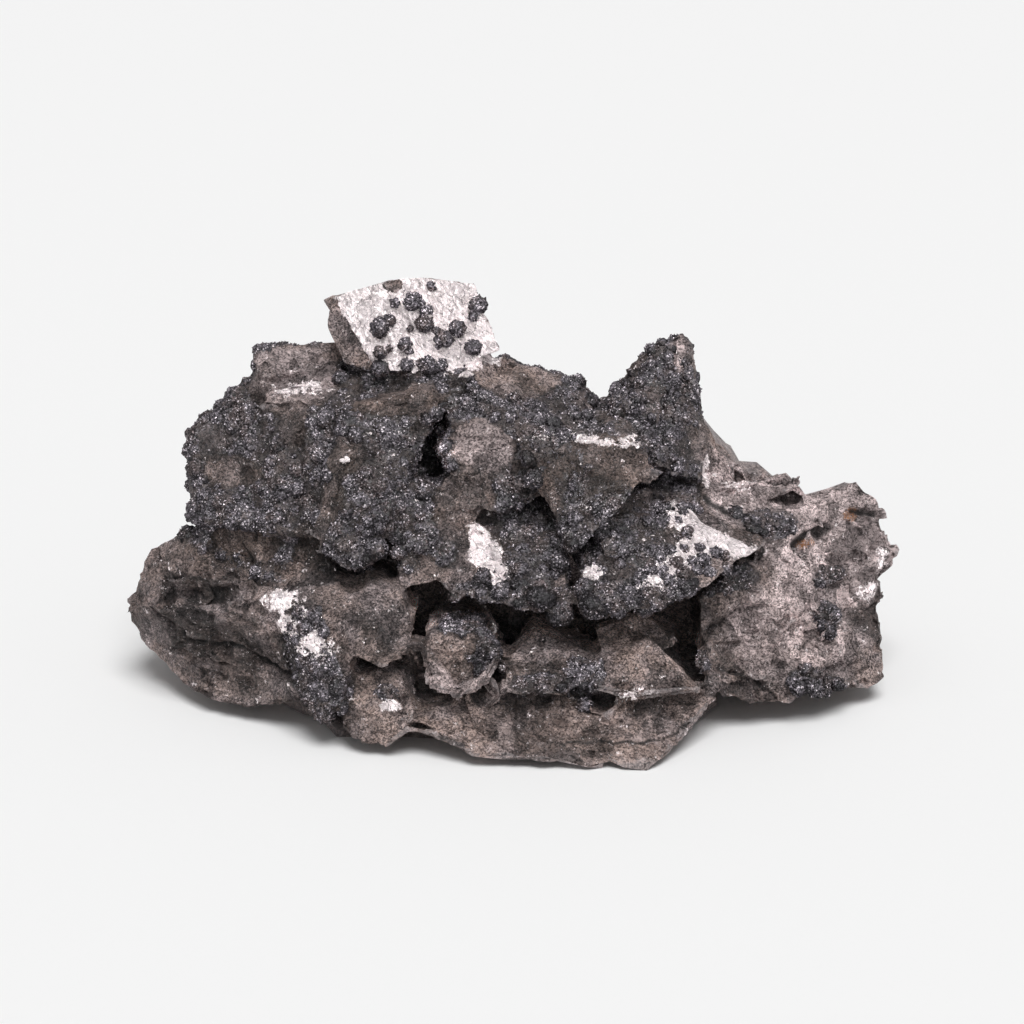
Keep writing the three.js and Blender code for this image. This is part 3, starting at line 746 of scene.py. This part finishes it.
def spaced(places, radii, gap):
    """The numbers of the places that keep their distance from every one before them."""
    size = 2 * gap * radii.max()
    grid = {}
    kept = []
    for number, (place, radius) in enumerate(zip(places, radii)):
        key = tuple(np.floor(place / size).astype(int))
        near = [
            other
            for step in itertools.product((-1, 0, 1), repeat=3)
            for other in grid.get((key[0] + step[0], key[1] + step[1], key[2] + step[2]), ())
        ]
        if near:
            away = np.linalg.norm(places[near] - place, axis=1)
            if (away < gap * (radii[near] + radius)).any():
                continue
        grid.setdefault(key, []).append(number)
        kept.append(number)
    return np.array(kept)


def frames_of(normals, rng):
    """For each normal, a turned set of three axes that has it as the third."""
    first = unit(np.cross(normals, rng.normal(size=normals.shape)))
    return np.stack([first, np.cross(normals, first), normals], 1)


def make_balls(rock):
    """The druse: places, outward directions, radii and depths of all its balls."""
    rng = np.random.default_rng(71)
    mesh = rock.data
    points = points_of(mesh)
    normals = smooth_normals(mesh, BALL_NORMAL_ROUNDS)
    crust = crust_field(points)
    free = 1 - np.clip(spots(points, SMOOTH_SPOTS), 0, 1)
    weight = ramp(crust, 0.4, 0.9) * (0.06 + 0.94 * free) * (points[:, 2] > FOOT_TOP)
    weight *= off_silver(points) * cover(points)
    places, picked = surface_samples(mesh, BALL_TRIES, weight, 72)
    outward = normals[corners_of(mesh)[picked][:, 0]]
    low, high = BALL_RADII
    radii = low + (high - low) * rng.beta(*BALL_RADIUS_SPREAD, len(places))
    radii *= 1 + spots(places, SIZE_SPOTS)
    order = np.argsort(-radii + rng.normal(0, BALL_ORDER_NOISE, len(radii)))
    places, outward, radii = places[order], outward[order], radii[order]
    kept = spaced(places, radii, BALL_GAP)
    sink = rng.uniform(*BALL_SINK, len(kept))
    single_places, single_outward, single_radii = single_balls(rock)
    return (np.vstack([places[kept], single_places]), np.vstack([outward[kept], single_outward]),
            np.concatenate([radii[kept], single_radii]),
            np.concatenate([sink, np.full(len(single_radii), SINGLE_BALL_SINK)]))


def cover(points):
    """How closely the crystals stand within the crust, from some to all over."""
    return COVER_LEAST + (1 - COVER_LEAST) * ramp(waves(points, COVER_SIZE, 96), -0.3, 0.15)


def off_silver(points):
    """1 away from the bright metal and less on it, where few crystals grow."""
    return 1 - SILVER_CLEAR * ramp(spots(points, SILVER_SPOTS), 0.35, 0.8)


def single_balls(rock):
    """The balls set one by one, each where a straight line from the front meets the rock."""
    tree = tree_of(rock.data)
    places, outward, radii = [], [], []
    for table, way in SINGLE_BALLS:
        for x, z, radius in table:
            hit = tree.ray_cast(Vector((x, VIEWER, z)), Vector((0, 1, 0)))[0]
            if hit is not None:
                places.append(hit[:])
                outward.append(way)
                radii.append(radius)
    return np.array(places), np.array(outward), np.array(radii)


# The druse is made in pieces, so that none has too many triangles: one behind, and the others
# in front of it from left to right, each up to its right end.
DRUSE_BEHIND = 6
DRUSE_PIECES = [("druse_left", -29), ("druse_middle", -9), ("druse_front", 14),
                ("druse_right", math.inf)]


def regions(points):
    """For each piece of the druse, its name and which of the points belong to it."""
    x, y, _ = points.T
    front = y <= DRUSE_BEHIND
    chosen = [("druse_back", ~front)]
    start = -math.inf
    for name, end in DRUSE_PIECES:
        chosen.append((name, front & (x >= start) & (x < end)))
        start = end
    return chosen


def ball_centres(places, outward, radii, sink):
    return places - outward * (radii * sink)[:, None]


def joined(parts):
    """One set of corners and triangles from several."""
    starts = np.cumsum([0] + [len(corners) for corners, _ in parts[:-1]])
    return (np.vstack([corners for corners, _ in parts]),
            np.vstack([faces + start for (_, faces), start in zip(parts, starts)]))


def copies(corners, faces, places, axes, sizes):
    """Copies of a shape, each with its own place, axes and sizes."""
    local = corners[None] * sizes
    world = np.einsum("nij,njk->nik", local, axes) + places[:, None]
    shift = np.arange(len(places))[:, None, None] * len(corners)
    return world.reshape(-1, 3), (faces[None] + shift).reshape(-1, 3)


def balls(places, outward, radii, sink, rng):
    """Rough balls, small ones with fewer triangles, and how far each corner stands out, which the
    material turns into painted shade low between the balls.
    """
    centres = ball_centres(places, outward, radii, sink)
    axes = frames_of(outward, rng)
    parts, painted_light_and_tone = [], []
    for small in (False, True):
        chosen = np.flatnonzero((radii < SMALL_BALL) == small)
        if len(chosen):
            corners, faces = ball_shape(SMALL_BALL_CUTS if small else BALL_CUTS)
            bumps = 1 + rng.normal(0, BALL_ROUGHNESS, (len(chosen), len(corners), 1))
            squash = rng.uniform(*BALL_SQUASH, (len(chosen), 1, 3))
            sizes = bumps * squash * radii[chosen, None, None]
            parts.append(copies(corners, faces, centres[chosen], axes[chosen], sizes))
            painted_light_and_tone.append((corners[None, :, 2] - sink[chosen, None]).ravel() + BALL_PAINTED_LIGHT)
    return *joined(parts), np.concatenate(painted_light_and_tone)


def grains(places, rng):
    """Tetrahedral crystals, each turned its own way."""
    corners = np.array([(1, 1, 1), (1, -1, -1), (-1, 1, -1), (-1, -1, 1)]) / math.sqrt(3)
    faces = np.array([(0, 1, 2), (0, 3, 1), (0, 2, 3), (1, 3, 2)])
    facing = unit(rng.normal(size=places.shape))
    sizes = rng.uniform(*GRAIN_SIZES, (len(places), 1, 1))
    return copies(corners, faces, places, frames_of(facing, rng), sizes)


def grain_places(rock, places, outward, radii, sink):
    """Where the crystals stand: on the crusted rock, and on the outer half of the balls."""
    rng = np.random.default_rng(91)
    points = points_of(rock.data)
    weight = ramp(crust_field(points), 0.4, 0.8) * off_silver(points) * cover(points)
    on_rock, _ = surface_samples(rock.data, CRUST_GRAINS, weight, 92)
    share = radii ** 2 * (2.2 - sink)
    chosen = rng.choice(len(radii), BALL_GRAINS, p=share / share.sum())
    way = unit(rng.normal(size=(BALL_GRAINS, 3)))
    inward = np.einsum("ij,ij->i", way, outward[chosen]) < 0
    way[inward] *= -1
    reach = (radii[chosen] - GRAIN_SINK)[:, None]
    on_balls = ball_centres(places, outward, radii, sink)[chosen] + way * reach
    return np.vstack([on_rock, on_balls])


def druse_piece(name, ball_set, places, seed):
    """The balls and the crystals of one region, in one mesh."""
    rng = np.random.default_rng(seed)
    corners, faces, painted_light_and_tone = balls(*ball_set, rng)
    tone = np.exp(rng.normal(math.log(GRAIN_TONE[0]), GRAIN_TONE[1], len(places)))
    tone[rng.random(len(places)) < GRAIN_BRIGHT] = GRAIN_GLINT
    corners, faces = joined([(corners, faces), grains(places, rng)])
    piece = mesh_object(name, corners, faces)
    put_attribute(piece.data, "painted_fill_light", spots(corners, PAINTED_FILL_SPOTS))
    # for the balls, painted shade by height; for the crystals, their own tone with some painted
    # glints
    put_attribute(piece.data, "painted_light_and_tone", np.concatenate([painted_light_and_tone, np.repeat(tone, 4)]))
    return piece


def mesh_object(name, verts, faces):
    mesh = bpy.data.meshes.new(name)
    mesh.from_pydata(verts * MM, [], faces, shade_flat=False)
    mesh.validate()
    return linked(name, mesh)


# --- materials ---
class Shader:
    """A material's node tree, built by calls that return sockets."""

    def __init__(self, name):
        self.material = bpy.data.materials.new(name)
        self.material.use_nodes = True
        self.tree = self.material.node_tree
        self.surface = self.tree.nodes["Principled BSDF"]

    def node(self, kind, output, inputs=None, **settings):
        """One output of a new node."""
        made = self.tree.nodes.new("ShaderNode" + kind)
        for key, value in settings.items():
            setattr(made, key, value)
        for key, value in (inputs or {}).items():
            self.plug(made.inputs[key], value)
        return made.outputs[output]

    def plug(self, socket, value):
        if isinstance(value, bpy.types.NodeSocket):
            self.tree.links.new(value, socket)
        else:
            socket.default_value = value

    def dress(self, **inputs):
        """Colours, values and sockets for the surface, by the names of its inputs."""
        for key, value in inputs.items():
            self.plug(self.surface.inputs[key.replace("_", " ")], value)
        return self.material

    def place(self):
        """Millimetre coordinates."""
        place = self.node("TexCoord", "Object")
        return self.node("Mapping", "Vector", {"Vector": place, "Scale": (1 / MM,) * 3})

    def noise(self, place, scale, detail, roughness):
        inputs = {"Vector": place, "Scale": scale, "Detail": detail, "Roughness": roughness}
        return self.node("TexNoise", "Fac", inputs)

    def voronoi(self, place, scale, feature="F1", output="Color"):
        inputs = {"Vector": place, "Scale": scale}
        return self.node("TexVoronoi", output, inputs, feature=feature)

    def edges(self, place, scale):
        """How far it is to the border of a cell."""
        return self.voronoi(place, scale, "DISTANCE_TO_EDGE", "Distance")

    def attribute(self, name):
        return self.node("Attribute", "Fac", attribute_name=name)

    def math(self, operation, a, b):
        return self.node("Math", 0, {0: a, 1: b}, operation=operation)

    def times(self, a, b):
        return self.math("MULTIPLY", a, b)

    def between(self, value, low, high, out_low=0, out_high=1):
        inputs = {"Value": value, "From Min": low, "From Max": high, "To Min": out_low,
                  "To Max": out_high}
        return self.node("MapRange", "Result", inputs, interpolation_type="SMOOTHSTEP")

    def mix(self, share, a, b, kind="RGBA"):
        """Some of a and some of b: colours, FLOAT numbers or VECTORs."""
        first, output = {"FLOAT": (2, 0), "VECTOR": (4, 1), "RGBA": (6, 2)}[kind]
        inputs = {"Factor": share, first: a, first + 1: b}
        return self.node("Mix", output, inputs, data_type=kind)

    def bump(self, height, distance):
        inputs = {"Height": height, "Strength": 1, "Distance": distance * MM}
        return self.node("Bump", "Normal", inputs)

    def vector(self, operation, *inputs, output=0, **named):
        values = dict(enumerate(inputs)) | {key.capitalize(): v for key, v in named.items()}
        return self.node("VectorMath", output, values, operation=operation)

    def place_along(self, direction, stretch):
        """Millimetre coordinates along a direction and across it, each scaled on its own."""
        along = Vector(direction).normalized()
        across = along.cross(Vector((0, 1, 0))).normalized()
        place = self.place()
        parts = [
            self.times(self.vector("DOT_PRODUCT", place, tuple(axis), output="Value"), share)
            for axis, share in zip((across, along.cross(across), along), stretch)
        ]
        return self.node("CombineXYZ", 0, dict(zip("XYZ", parts)))

    def total(self, parts):
        """The sum of values, each times its share."""
        result = 0
        for value, share in parts:
            inputs = {0: value, 1: share, 2: result}
            result = self.node("Math", 0, inputs, operation="MULTIPLY_ADD")
        return result

    def scaled(self, colour, share):
        return self.vector("SCALE", colour, scale=share)

    def centred(self, colour):
        """A random colour made a direction."""
        return self.vector("SUBTRACT", colour, (0.5, 0.5, 0.5))

    def random_cells(self, place, scale):
        """Small cells, each with its own random value from 0 to 1."""
        return self.node("SeparateColor", "Red", {"Color": self.voronoi(place, scale)})

    def warped(self, place, scale, reach):
        """Coordinates bent by noise, so that cells in them have crooked borders."""
        bend = self.node("TexNoise", "Color", {"Vector": place, "Scale": scale, "Detail": 4})
        return self.vector("ADD", place, self.scaled(self.centred(bend), reach / scale * 2))

    def brushed_place(self, place, warped, scale, stretch):
        """Coordinates that are drawn out in every cell along a way of its own: how finely they
        run across that way and along it."""
        way = self.vector("NORMALIZE", self.centred(self.voronoi(warped, scale)))
        along = self.vector("DOT_PRODUCT", place, way, output="Value")
        across, lengthwise = stretch
        along = self.times(along, across - lengthwise)
        return self.vector("SUBTRACT", self.scaled(place, across), self.scaled(way, along))

    def facets(self, levels, normal=None):
        """Normals of many small planes, each turned its own way: place, cells per mm, tilt."""
        if normal is None:
            normal = self.node("NewGeometry", "Normal")
        for place, scale, tilt in levels:
            turn = self.centred(self.voronoi(place, scale))
            normal = self.vector("ADD", normal, self.scaled(turn, tilt))
        return self.vector("NORMALIZE", normal)

    def mix_normals(self, share, a, b):
        return self.vector("NORMALIZE", self.mix(share, a, b, "VECTOR"))


def grey(value, warmth=0.0, blush=0.03):
    """A near-grey colour, browner for a positive warmth and pinker for a positive blush."""
    return (value * (1 + warmth + blush), value * (1 - blush), value * (1 - 0.9 * warmth + blush),
            1.0)


DRUSE_ROUGHNESS = 0.5
DRUSE_SHEEN = 0.14
ROCK_SHEEN = 0.22
SILVER_METALLIC = 0.6
SILVER_ROUGHNESS = 0.36
# cells to a millimetre: the druse's glitter, the rock's planes and its crumbs
DRUSE_CELLS = 4.5
PLANE_CELLS = 0.38
CRUMB_CELLS = 4.4


def druse_look(shader, place):
    """Colour and normal of the dark sparkling druse, with painted glints, painted shade low
    between its balls and painted light in deep places.
    """
    cell = shader.random_cells(place, DRUSE_CELLS)
    cloud = shader.noise(place, 0.3, 4, 0.6)
    clots = shader.noise(place, 1.2, 4, 0.7)
    brown = shader.between(shader.noise(place, 0.28, 4, 0.6), 0.47, 0.6, 0, 0.8)
    dark = shader.mix(shader.between(clots, 0.4, 0.6), grey(0.01, 0, 0.06),
                      shader.mix(brown, grey(0.05, 0, 0.06), grey(0.05, 0.2, 0.06)))
    bright = shader.mix(brown, grey(0.35, -0.01, 0.06), grey(0.27, 0.16, 0.06))
    colour = shader.mix(shader.math("POWER", cell, 3), dark, bright)
    # painted glints: a few cells turned near-white
    glint = shader.total([(cell, 1), (cloud, 0.3)])
    colour = shader.mix(shader.between(glint, 1.08, 1.1), colour, grey(0.7, 0.02, 0.04))
    # painted shade low between the balls and knobs, lighter on their tops and at the crystals'
    # painted glints
    painted_light_and_tone = shader.attribute("painted_light_and_tone")
    bright_tone_and_glint = shader.math("MAXIMUM", shader.math("SUBTRACT", painted_light_and_tone, 1), 0)
    light = shader.math("ADD", shader.between(painted_light_and_tone, 0, 1, 0.25, 1.2), bright_tone_and_glint)
    light = shader.times(light, shader.between(cloud, 0.3, 0.7, 0.75, 1.25))
    # painted light in deep places, lifting their shade
    light = shader.times(light, shader.math("ADD", shader.attribute("painted_fill_light"), 1))
    return shader.scaled(colour, light), shader.facets([(place, DRUSE_CELLS, 0.9)])


def druse_material():
    shader = Shader("druse")
    colour, normal = druse_look(shader, shader.place())
    return shader.dress(Base_Color=colour, Normal=normal, Roughness=DRUSE_ROUGHNESS,
                        Specular_IOR_Level=DRUSE_SHEEN)


def bare_rock_look(shader, place, medium):
    """Colour and normal of the broken rock: gritty, streaked, brown-grey, each facet its own."""
    warped = shader.warped(place, 0.9, 0.5)
    crumbs = shader.warped(place, 3.0, 0.35)
    grain = shader.random_cells(crumbs, CRUMB_CELLS)
    plane = shader.random_cells(warped, PLANE_CELLS)
    brushed = shader.brushed_place(place, warped, PLANE_CELLS, (2.6, 0.4))
    brushed = shader.noise(brushed, 1, 4, 0.75)
    fine = shader.noise(place, 3.6, 6, 0.85)
    streak = shader.noise(shader.place_along((0.25, 0.1, 1), (0.3, 0.3, 2.2)), 1.3, 5, 0.75)
    speckle = shader.total([(grain, 0.5), (fine, 0.9), (brushed, 0.9), (streak, 0.25)])
    layered = shader.total([(grain, 0.4), (fine, 0.5), (streak, 1.2), (brushed, 0.5)])
    bedded = shader.between(shader.attribute("bedded"), 0.2, 0.8, 0, 0.85)
    grit = shader.mix(bedded, speckle, layered, "FLOAT")
    brown = shader.between(shader.noise(place, 0.16, 4, 0.6), 0.4, 0.6, 0, 0.6)
    brown = shader.total([(brown, 1), (shader.attribute("warm"), 0.5)])
    dark = shader.mix(brown, grey(0.07, 0.1, 0.05), grey(0.065, 0.24, 0.05))
    light = shader.mix(brown, grey(0.33, 0.13, 0.05), grey(0.3, 0.25, 0.05))
    base = shader.mix(shader.between(grit, 1.07, 1.47), dark, light)
    pale = shader.attribute("pale")
    pale = shader.between(shader.total([(pale, 1), (medium, 0.4)]), 0.35, 1.25, 0, 0.85)
    base = shader.mix(pale, base, shader.mix(
        shader.between(grit, 1.03, 1.45), grey(0.17, 0.14, 0.05), grey(0.75, 0.12, 0.05)))
    base = shader.scaled(base, shader.between(shader.attribute("pale"), -1, 0, 0.55, 1))
    # the painted_hollow_shade term is painted shade in broad hollows and painted light on what
    # stands out
    tone = shader.total([(shader.attribute("tone"), 0.2), (shader.attribute("painted_hollow_shade"), 0.4),
                         (medium, 0.15), (plane, 0.3)])
    base = shader.scaled(base, shader.between(tone, -0.2, 0.65, 0.4, 1.55))
    # painted glints: a few grit specks turned near-white
    glint = shader.between(shader.total([(grain, 0.6), (fine, 0.6)]), 0.9, 0.94)
    base = shader.mix(shader.times(glint, 0.8), base, grey(0.75, 0.04, 0.04))
    rust = shader.times(shader.attribute("rust"), shader.between(fine, 0.4, 0.6))
    base = shader.mix(shader.between(rust, 0.2, 0.7), base, (0.5, 0.2, 0.06, 1))
    seam = shader.between(shader.edges(warped, PLANE_CELLS), 0, 0.02)
    base = shader.scaled(base, shader.between(seam, 0, 1, 0.65, 1))
    # painted light in deep places, lifting their shade
    base = shader.scaled(base, shader.math("ADD", shader.attribute("painted_fill_light"), 1))
    base = shader.scaled(base, shader.between(shader.attribute("crust"), 0.1, 0.5, 1, 0.36))
    relief = shader.total([(fine, 0.7), (streak, 0.6), (brushed, 1.2), (grain, 0.1), (seam, 0.3)])
    levels = [(warped, PLANE_CELLS, 0.7), (warped, 1.5, 0.5), (crumbs, CRUMB_CELLS, 0.6)]
    return base, shader.facets(levels, shader.bump(relief, 0.4))


def silver_look(shader, place):
    """Colour and normal of the bright metal, crumpled and pitted, with painted shade where its
    relief is low.
    """
    drawn = shader.place_along((0.5, 0.0, -0.87), (1.5, 1.5, 0.6))
    warped = shader.warped(drawn, 0.9, 0.6)
    etched = shader.noise(drawn, 1.6, 5, 0.8)
    scaly = shader.noise(place, 1.4, 5, 0.8)
    relief = shader.total([(etched, 1), (scaly, 0.8)])
    # painted shade: darker where the relief is low
    metal = shader.mix(shader.between(relief, 0.66, 0.81), grey(0.16, 0.12, 0.04),
                       grey(0.95, 0.06, 0.03))
    scales = shader.between(shader.edges(warped, 1.7), 0, 0.06, 0.5, 1)
    clefts = shader.between(shader.edges(warped, 0.42), 0, 0.03, 0.25, 1)
    metal = shader.scaled(shader.scaled(metal, scales), clefts)
    normal = shader.bump(relief, 0.6)
    levels = [(warped, 0.42, 0.3), (warped, 1.7, 0.7), (place, 2.8, 0.4)]
    return metal, shader.facets(levels, normal)


def rock_material():
    shader = Shader("rock")
    place = shader.place()
    medium = shader.noise(place, 0.7, 5, 0.65)
    ragged = shader.math("SUBTRACT", medium, 0.5)
    crust = shader.math("ADD", shader.attribute("crust"), shader.times(ragged, 1.5))
    crust = shader.times(shader.between(crust, 0.4, 0.56), shader.attribute("cover"))
    speckle = shader.math("SUBTRACT", shader.noise(place, 1.6, 5, 0.75), 0.5)
    silver = shader.total([(shader.attribute("silver"), 1), (ragged, 2.8), (speckle, 2.4)])
    silver = shader.between(silver, 0.5, 0.62)

    base, base_normal = bare_rock_look(shader, place, medium)
    crust_colour, crust_normal = druse_look(shader, place)
    metal, metal_normal = silver_look(shader, place)
    colour = shader.mix(silver, shader.mix(crust, base, crust_colour), metal)
    # lighter convex edges: partly worn, chipped rock, partly painted highlight
    wear_and_highlight = shader.total([(shader.attribute("edge"), 1), (medium, 0.3)])
    edge = shader.between(wear_and_highlight, 0.24, 0.36, 0, 0.5)
    bare = shader.math("SUBTRACT", 1, crust)
    colour = shader.mix(shader.times(edge, bare), colour, grey(0.4, 0.05))
    # cracks painted near-black: painted shade in the cuts
    sunk = shader.between(shader.attribute("painted_crack_shade"), 0.3, 1.2, 0, 0.93)
    colour = shader.mix(sunk, colour, grey(0.008))

    normal = shader.mix_normals(silver, shader.mix_normals(crust, base_normal, crust_normal),
                                metal_normal)
    rough = shader.between(medium, 0.3, 0.7, 0.42, 0.62)
    rough = shader.mix(crust, rough, DRUSE_ROUGHNESS, "FLOAT")
    rough = shader.mix(silver, rough, SILVER_ROUGHNESS, "FLOAT")
    return shader.dress(Base_Color=colour, Normal=normal, Roughness=rough,
                        Metallic=shader.times(silver, SILVER_METALLIC),
                        Specular_IOR_Level=ROCK_SHEEN)


# --- floor, lights, camera ---
FLOOR_REACH = 9.0
WORLD_LIGHT = 0.31
SUN_FROM = (0.12, -0.42, 1.0)
SUN_LIGHT = 2.41
SUN_WIDTH = math.radians(35)
LIGHT_TARGET = (0, 0, 0.03)
CAMERA_TARGET = (0, -3, 30)
CAMERA_HEIGHT_ANGLE = math.radians(20)
CAMERA_DISTANCE = 474
# Lights that only shine in reflections: name, place in metres, power in watts, size in metres.
GLOSSY_LIGHTS = [
    ("front_box", (0.0, -1.2, 0.75), 40.0, 0.9),
    ("softbox", (-0.1, -0.3, 0.9), 3.6, 0.7),
    ("glint_left", (-0.35, -0.45, 0.7), 3.0, 0.12),
    ("glint_right", (0.5, -0.2, 0.6), 3.0, 0.12),
    ("glint_top", (0.0, -0.1, 0.9), 3.0, 0.12),
]


def aim(obj, target):
    direction = Vector(target) - obj.location
    obj.rotation_euler = direction.to_track_quat("-Z", "Y").to_euler()


def make_camera():
    lens = bpy.data.cameras.new("camera")
    lens.lens = 100
    lens.sensor_width = 36
    camera = linked("camera", lens)
    target = Vector(CAMERA_TARGET) * MM
    back = Vector((0, -math.cos(CAMERA_HEIGHT_ANGLE), math.sin(CAMERA_HEIGHT_ANGLE)))
    camera.location = target + back * (CAMERA_DISTANCE * MM)
    aim(camera, target)
    bpy.context.scene.camera = camera


def make_light(name, kind, place, energy, size):
    data = bpy.data.lights.new(name, kind)
    data.energy = energy
    if kind == "SUN":
        data.angle = size
    else:
        data.size = size
    light = linked(name, data)
    light.location = place
    aim(light, LIGHT_TARGET)
    return light


def make_stage():
    mesh = bpy.data.meshes.new("floor")
    reach = FLOOR_REACH
    mesh.from_pydata([(-reach, -reach, 0), (reach, -reach, 0), (reach, reach, 0),
                      (-reach, reach, 0)], [], [(0, 1, 2, 3)])
    floor = linked("floor", mesh)
    mesh.materials.append(Shader("floor").dress(
        Base_Color=(0.9, 0.9, 0.9, 1), Roughness=0.9, Specular_IOR_Level=0.1))
    world = bpy.data.worlds.new("studio")
    world.use_nodes = True
    background = world.node_tree.nodes["Background"]
    background.inputs["Color"].default_value = (1, 1, 1, 1)
    background.inputs["Strength"].default_value = WORLD_LIGHT
    bpy.context.scene.world = world
    make_light("overhead", "SUN", SUN_FROM, SUN_LIGHT, SUN_WIDTH)
    for name, place, energy, size in GLOSSY_LIGHTS:
        light = make_light(name, "AREA", place, energy, size)
        light.visible_diffuse = False
    bpy.context.scene.view_settings.view_transform = "Standard"


# --- putting it together ---
def settle(piece, material):
    """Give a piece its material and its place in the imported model."""
    piece.data.materials.clear()
    piece.data.materials.append(material)
    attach(piece, BODY)
    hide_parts(NODE)


make_camera()
make_stage()
rock = make_rock()
settle(rock, rock_material())
druse = druse_material()
ball_set = make_balls(rock)
grain_set = grain_places(rock, *ball_set)
pieces = zip(regions(ball_set[0]), regions(grain_set))
for number, ((name, balls_here), (_, grains_here)) in enumerate(pieces):
    own_balls = [values[balls_here] for values in ball_set]
    piece = druse_piece(name, own_balls, grain_set[grains_here], DRUSE_SEED + number)
    settle(piece, druse)

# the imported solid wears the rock's material too
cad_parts[NODE].data.materials.clear()
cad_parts[NODE].data.materials.append(rock.data.materials[0])
